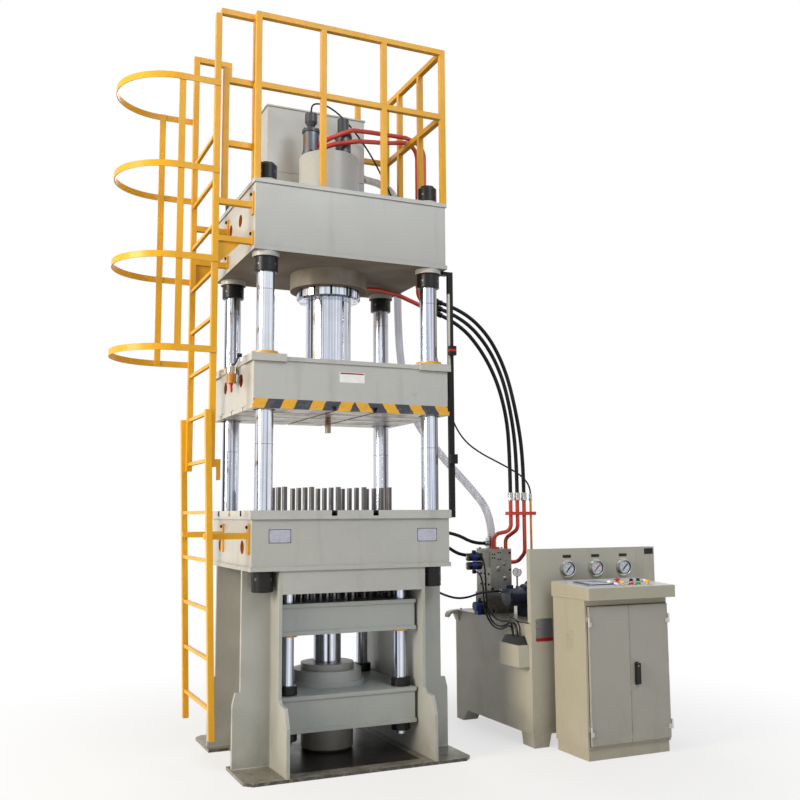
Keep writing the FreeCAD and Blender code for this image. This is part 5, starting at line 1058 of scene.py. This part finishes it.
def add_block_fittings():
    """Cap screws, plugs and a round cover on the valve block."""
    screws, plugs = Skin(), Skin()
    for x in (1.362, 1.382, 1.412, 1.432):
        for z in (1.262, 1.290) if x < 1.39 else (1.250, 1.302):
            socket_head(screws, (x, BLOCK_Y, z), FRONT, 0.0055, 0.004)
    for x, z in ((1.360, 1.03), (1.515, 1.03), (1.515, 1.30), (1.515, 1.17), (1.360, 0.865), (1.500, 0.865)):
        socket_head(screws, (x, BLOCK_Y if z > 1.01 else 0.050, z), FRONT, 0.008, 0.006)
    for y in (0.09, 0.15, 0.21):
        for z in (1.06, 1.14):
            socket_head(screws, (1.345, y, z), LEFT, 0.008, 0.006)
    for x, y in ((1.365, 0.26), (1.515, 0.26), (1.515, 0.18)):
        socket_head(screws, (x, y, 1.330), UP, 0.009, 0.008)
    screws.piece("block_screws", "black_steel", "black_oxide")
    plugs.turned([(0.019, 0), (0.019, 0.004), (0.0165, 0.006), (0.0165, 0.003), (0.0145, 0.003),
                  (0.0145, 0.007), (0.012, 0.009)], aimed((1.415, BLOCK_Y, 1.180), FRONT), 28)
    hexagon_head(plugs, (1.470, BLOCK_Y, 1.105), FRONT, 0.024, 0.010, 0.016)
    hexagon_head(plugs, (1.470, BLOCK_Y, 1.215), FRONT, 0.018, 0.012, 0.012)
    for z in (1.204, 1.270):
        plugs.turned([(0.014, 0), (0.014, 0.006), (0.009, 0.010)], aimed((1.1755, 0.115, z), LEFT))
    plugs.piece("block_plugs", "fitting_steel", "zinc_plate")


def add_coil_sockets():
    """Square connector housings on the solenoid coils, the middle one hanging."""
    skin = Skin()
    for x, y, z, side in ((1.232, 0.115, 1.298, 1), (1.232, 0.115, 1.169, -1), (1.250, 0.070, 0.940, 1)):
        frame = aimed((x, y, z - side * 0.004), (0, 0, side), RIGHT)
        skin.pressed([(0.026, 0.027, 0.004, 0), (0.026, 0.027, 0.004, 0.022), (0.021, 0.022, 0.004, 0.028)],
                     frame)
        screw = aimed((x, y - 0.012, z + side * 0.008), FRONT)
        skin.turned([(0.008, 0), (0.008, 0.010), (0.006, 0.014)], screw, 6)
    skin.piece("coil_sockets", "black_plastic", "black_plastic")


def add_motor_fins():
    """Cooling fins along the motor, its fan guard and the bolts of the pump's flange."""
    axis_y, axis_z = -0.200, 0.987
    skin = Skin()
    for index in range(40):
        rise, across = polar(9 * index)
        if rise < -0.55 or (rise > 0.82 and abs(across) < 0.57):
            continue
        out = Vector((0, across, rise))
        skin.pressed([(0.0040, 0.300, 0.0015, 0), (0.0026, 0.298, 0.0010, 0.0115)],
                     aimed(Vector((1.700, axis_y, axis_z)) + out * 0.119, out, RIGHT), 2)
    for radius in (0.030, 0.050, 0.070, 0.090):
        inner, outer = radius - 0.002, radius + 0.002
        skin.turned([(inner, 0), (outer, 0), (outer, 0.004), (inner, 0.004)],
                    aimed((1.915, axis_y, axis_z), RIGHT), 40, loop=True)
    for index in range(8):
        rise, across = polar(22.5 + 45 * index, 0.080)
        hexagon_head(skin, (1.4745, axis_y + across, axis_z + rise), LEFT, 0.013, 0.007)
    skin.piece("motor_fins", "pump_paint", "pump_enamel")


def crimped(skin, start, along, radius, length, rings=4):
    """Crimp rings on a hose's sleeve."""
    for index in range(rings):
        skin.turned([(radius, 0), (radius + 0.0016, 0.0015), (radius + 0.0016, 0.0045), (radius, 0.006)],
                    aimed(start + along * (length * (index + 0.5) / rings - 0.003), along))


def hose_nut(skin, start, along, across, length):
    reach = across / math.sqrt(3)
    skin.turned([(reach * 0.88, 0), (reach, 0.0025), (reach, length - 0.0025), (reach * 0.88, length)],
                aimed(start, along), 6)


def add_hose_ends():
    """Hexagon nuts and crimp rings on the hoses' fittings, and clamps on the clear hose."""
    bright, dark = Skin(), Skin()
    up, right = Vector(UP), Vector(RIGHT)
    ends = {name: [Vector(points[index]) for index in (0, 1, -2, -1)]
            for name, (_, _, points) in ROUTES.items()}
    for name in ("main_hose_1", "main_hose_2", "main_hose_3"):
        start, second, _, low = ends[name]
        crimped(bright, low - up * 0.032, up, 0.0205, 0.034)
        hose_nut(bright, low - up * 0.060, up, 0.046, 0.024)
        along = (second - start).normalized()
        crimped(dark, start - along * 0.0325, along, 0.0205, 0.034)
        hose_nut(dark, start - along * 0.060, along, 0.046, 0.024)
    start, _, _, low = ends["pilot_hose"]
    hose_nut(bright, low - up * 0.052, up, 0.027, 0.018)
    hose_nut(bright, start - up * 0.010, up, 0.027, 0.012)
    for name in ("cushion_hose_1", "cushion_hose_2"):
        start, _, _, end = ends[name]
        crimped(bright, start - right * 0.030, right, 0.0185, 0.030, 3)
        hose_nut(bright, start - right * 0.055, right, 0.040, 0.022)
        crimped(bright, end, right, 0.0185, 0.024, 3)
    high, second, last, low = ends["suction_hose"]
    for start, toward in ((high, second), (low, last)):
        along = (toward - start).normalized()
        for distance in (0.006, 0.026):
            bright.turned([(0.0312, 0), (0.0335, 0.0008), (0.0335, 0.0112), (0.0312, 0.012)],
                          aimed(start + along * distance, along), 36)
        screw = start + along * 0.012 + Vector((0, -0.036, 0))
        bright.turned([(0.0045, 0), (0.0045, 0.022), (0.003, 0.024)], aimed(screw, RIGHT), 12)
    bright.piece("hose_end_nuts", "fitting_steel", "zinc_plate")
    dark.piece("hose_end_sleeves", "black_steel", "black_oxide")


def add_pump_gauge():
    """A small pressure gauge on a stem that stands on the pump."""
    place, out = Vector((1.422, -0.200, 1.168)), Vector((-0.45, -0.89, 0))
    skin = Skin()
    skin.turned([(0.013, 1.050), (0.013, 1.066), (0.007, 1.068), (0.007, 1.140)],
                Matrix.Translation((place.x, place.y, 0)), 6)
    skin.turned([(0.026, -0.022), (0.031, -0.018), (0.031, 0.006), (0.034, 0.008), (0.034, 0.013),
                 (0.030, 0.015), (0.0285, 0.010)], aimed(place, out), 32, paints=(0, 0, 0, 0, 0, 0, 1))
    needle = aimed(place + out.normalized() * 0.0102, out, (0.3, 0, 1))
    skin.pressed([(0.003, 0.034, 0.001, level) for level in (0, 0.001)], needle, 1, paints=(2, 2))
    skin.piece("pump_gauge", "fitting_steel", "zinc_plate", "white_plastic", "black_plastic")


# Control cabinet

CONSOLE_OUT = Vector((0, -CONSOLE_SLOPE, 1)).normalized()
SCREEN_SLOPE = 10 / 198
SCREEN_OUT = Vector((0, -SCREEN_SLOPE, 1)).normalized()
FAR_ROW, NEAR_ROW = -0.930, -1.060


def on_console(x, y):
    """The frame of a piece that stands on the console's sloping top."""
    return aimed((x, y, CONSOLE_Z + (y - CONSOLE_FRONT) * CONSOLE_SLOPE), CONSOLE_OUT, BACKWARD)


def on_screen(x, y, level):
    place = Vector((1.545 + x, -0.989 + y, 1.131 + y * SCREEN_SLOPE))
    return aimed(place + SCREEN_OUT * level, SCREEN_OUT, BACKWARD)


def add_console():
    """Lamps under bright bezels, the operator's screen with its keys, and blank labels."""
    rings, screen, labels = Skin(), Skin(), Skin()
    for colour, slot, places in (
            ("white", "clear_hose", ((1.716, FAR_ROW), (1.676, NEAR_ROW), (2.010, FAR_ROW))),
            ("green", "green_plastic", ((1.858, NEAR_ROW),)), ("red", "red_plastic", ((1.800, NEAR_ROW),))):
        skin = Skin()
        for x, y in places:
            skin.turned([(0.0175, 0.0045), (0.0175, 0.0120), (0.0150, 0.0165), (0.0108, 0.0190),
                         (0.0055, 0.0200)], on_console(x, y), 24)
            rings.turned([(0.0225, 0), (0.0225, 0.0035), (0.0210, 0.0052), (0.0176, 0.0052), (0.0176, 0)],
                         on_console(x, y), 28, loop=True)
        skin.piece("lamps_" + colour, slot, colour + "_plastic")
    buttons = [(x, FAR_ROW) for x in (1.780, 1.838, 1.900, 1.958)]
    for x, y in buttons + [(1.732, NEAR_ROW), (1.935, NEAR_ROW)]:
        rings.turned([(0.0225, 0), (0.0225, 0.0030), (0.0206, 0.0042), (0.0152, 0.0042), (0.0152, 0)],
                     on_console(x, y), 28, loop=True)
    rings.piece("button_bezels", "fitting_steel", "zinc_plate")
    screen.pressed([(0.202, 0.200, 0.010, 0), (0.202, 0.200, 0.010, 0.004), (0.198, 0.196, 0.009, 0.0055)],
                   on_screen(0, 0, -0.002))
    screen.pressed([(0.164, 0.112, 0.004, 0), (0.164, 0.112, 0.004, 0.0012), (0.161, 0.109, 0.004, 0.0016)],
                   on_screen(0, 0.026, 0.0033), paints=(0, 0, 1))
    for row in range(2):
        for column in range(8):
            key = on_screen(-0.070 + 0.020 * column, -0.052 - 0.020 * row, 0.0033)
            screen.pressed([(0.014, 0.012, 0.003, 0), (0.014, 0.012, 0.003, 0.0014),
                            (0.011, 0.009, 0.002, 0.0022)], key, paints=(2, 2, 2))
    screen.piece("operator_screen", "black_plastic", "screen_bezel", "screen_glass", "screen_key")
    named = buttons + [(1.716, FAR_ROW), (2.010, FAR_ROW)]
    for x, y in named + [(x, NEAR_ROW) for x in (1.676, 1.732, 1.800, 1.858, 1.935)]:
        label = [(0.034, 0.010, 0.002, level) for level in (-0.0005, 0.0006)]
        labels.pressed(label, on_console(x, y + 0.034))
    labels.piece("button_labels", "black_plastic", "black_plastic")


def add_louvres():
    """Pressed louvres in both sides of the cabinet."""
    skin = Skin()
    for x, out in ((1.412, LEFT), (2.082, RIGHT)):
        for index in range(7):
            skin.pressed([(0.090, 0.013, 0.0060, -0.0005), (0.088, 0.011, 0.0053, 0.0022),
                          (0.080, 0.0045, 0.0020, 0.0040)], aimed((x, -0.886, 0.690 + 0.021 * index), out))
    skin.piece("cabinet_louvres", "cabinet_paint", "cabinet_enamel")


def add_door_trim():
    """A folded lip round each door, and a black lock case behind the lever."""
    for side, x0, x1 in (("left", 1.432, 1.751), ("right", 1.753, 2.074)):
        skin = Skin()
        lip = ((0.0006, 0), (0.0006, 0.0010), (0.0040, 0.0016), (0.0090, 0.0016), (0.0110, 0))
        skin.pressed([(x1 - x0 - inset, 0.890 - inset, 0.002, level) for inset, level in lip],
                     aimed(((x0 + x1) / 2, DOOR_Y, 0.540), FRONT), 2, loop=True)
        skin.piece("door_lip_" + side, "cabinet_paint", "door_enamel", body=side + "_door")
    lock = Skin()
    lock.pressed([(0.030, 0.150, 0.006, 0), (0.030, 0.150, 0.006, 0.0030), (0.026, 0.146, 0.005, 0.0044)],
                 aimed((1.803, DOOR_Y, 0.5355), FRONT))
    lock.piece("lock_case", "black_plastic", "black_plastic", body="right_door")


# Weld beads


def add_welds():
    """Beads where the legs' fins meet the side plates and the base, and round the barrel and the tank."""
    legs, top = Skin(), Skin()
    for sx in (-1, 1):
        side = sx * LEG_SIDE
        for y in (-0.3505, -0.3195, 0.3195, 0.3505):
            weld(legs, [(side, y, 0.024), (side, y, 1.242)], 0.0045)
            weld(legs, [(sx * 0.514, y, BASE_TOP), (sx * 0.750, y, BASE_TOP)], 0.005)
        for near, far in ((-0.516, -0.352), (0.352, 0.516)):
            weld(legs, [(side, near, BASE_TOP), (side, far, BASE_TOP)], 0.005)
    legs.piece("leg_welds", "frame_paint", "leg_shaded_enamel")
    weld(top, [(*polar(6 * i, 0.2195), CROWN_TOP) for i in range(61)], 0.006, 0.12)
    for y in (0.2745, 0.4705):
        weld(top, [(-0.392, y, CROWN_TOP), (0.392, y, CROWN_TOP)], 0.005)
    top.piece("crown_welds", "frame_paint", "frame_enamel")


add_dials()
add_plates()
add_set_screws()
add_ladder_tabs()
add_fasteners()
add_block_fittings()
add_coil_sockets()
add_motor_fins()
add_hose_ends()
add_pump_gauge()
add_console()
add_louvres()
add_door_trim()
add_welds()


# Floor, backdrop light and lamps

AMBIENT = 0.29
WHITE = (1, 1, 1, 1)


def add_floor():
    """A pale floor that keeps the shadow and turns to plain white away from the press."""
    data = bpy.data.meshes.new("floor")
    data.from_pydata([(-60, -60, 0), (60, -60, 0), (60, 60, 0), (-60, 60, 0)], [], [(0, 1, 2, 3)])
    floor = bpy.data.objects.new("floor", data)
    scene.collection.objects.link(floor)
    s = Shader("floor_paint")
    s.set(Base_Color=linear((232, 231, 229)), Roughness=0.8, Specular_IOR_Level=0.1)
    reach = s.node("ShaderNodeVectorMath", operation="DISTANCE")
    s.link(s.place(), reach.inputs[0])
    reach.inputs[1].default_value = (0.6, -0.2, 0)
    share = s.mapped(reach.outputs["Value"], 1.0, 4.2, 0.62, 1.0, "SMOOTHSTEP")
    paint, glow = s.bsdf.outputs[0], s.filled("ShaderNodeEmission", WHITE, 1.0)
    faded = s.filled("ShaderNodeMixShader", share, paint, glow)
    chosen = s.filled("ShaderNodeMixShader", s.seen_or_reflected(), paint, faded)
    s.link(chosen, s.tree.nodes["Material Output"].inputs["Surface"])
    data.materials.append(s.material)


def add_world():
    """Light from all round, which the camera and reflections see as plain white."""
    world = bpy.data.worlds.new("studio")
    world.use_nodes = True
    scene.world = world
    s = Nodes(world.node_tree)
    light = s.tree.nodes["Background"]
    light.inputs["Color"].default_value = WHITE
    light.inputs["Strength"].default_value = AMBIENT
    white = s.filled("ShaderNodeBackground", WHITE, 1.0)
    chosen = s.filled("ShaderNodeMixShader", s.seen_or_reflected(), light.outputs[0], white)
    s.link(chosen, s.tree.nodes["World Output"].inputs["Surface"])


def add_lamp(name, place, target, size, power, colour):
    data = bpy.data.lights.new(name, "AREA")
    data.shape = "DISK"
    data.size = size
    data.energy = power
    data.color = colour
    lamp = bpy.data.objects.new(name, data)
    lamp.location = place
    lamp.rotation_euler = (Vector(target) - Vector(place)).to_track_quat("-Z", "Y").to_euler()
    scene.collection.objects.link(lamp)


add_floor()
add_world()
add_lamp("key", (-10, -2.3, 4.4), (0.2, 0, 2.2), 5, 1180, (1.0, 0.90, 0.74))
add_lamp("fill", (1.8, -6.6, 7.8), (0.2, 0, 3.4), 4, 255, (0.84, 0.92, 1.0))
add_lamp("rim", (3, 8, 9), (0, 0, 2.5), 5, 300, (1.0, 1.0, 1.0))
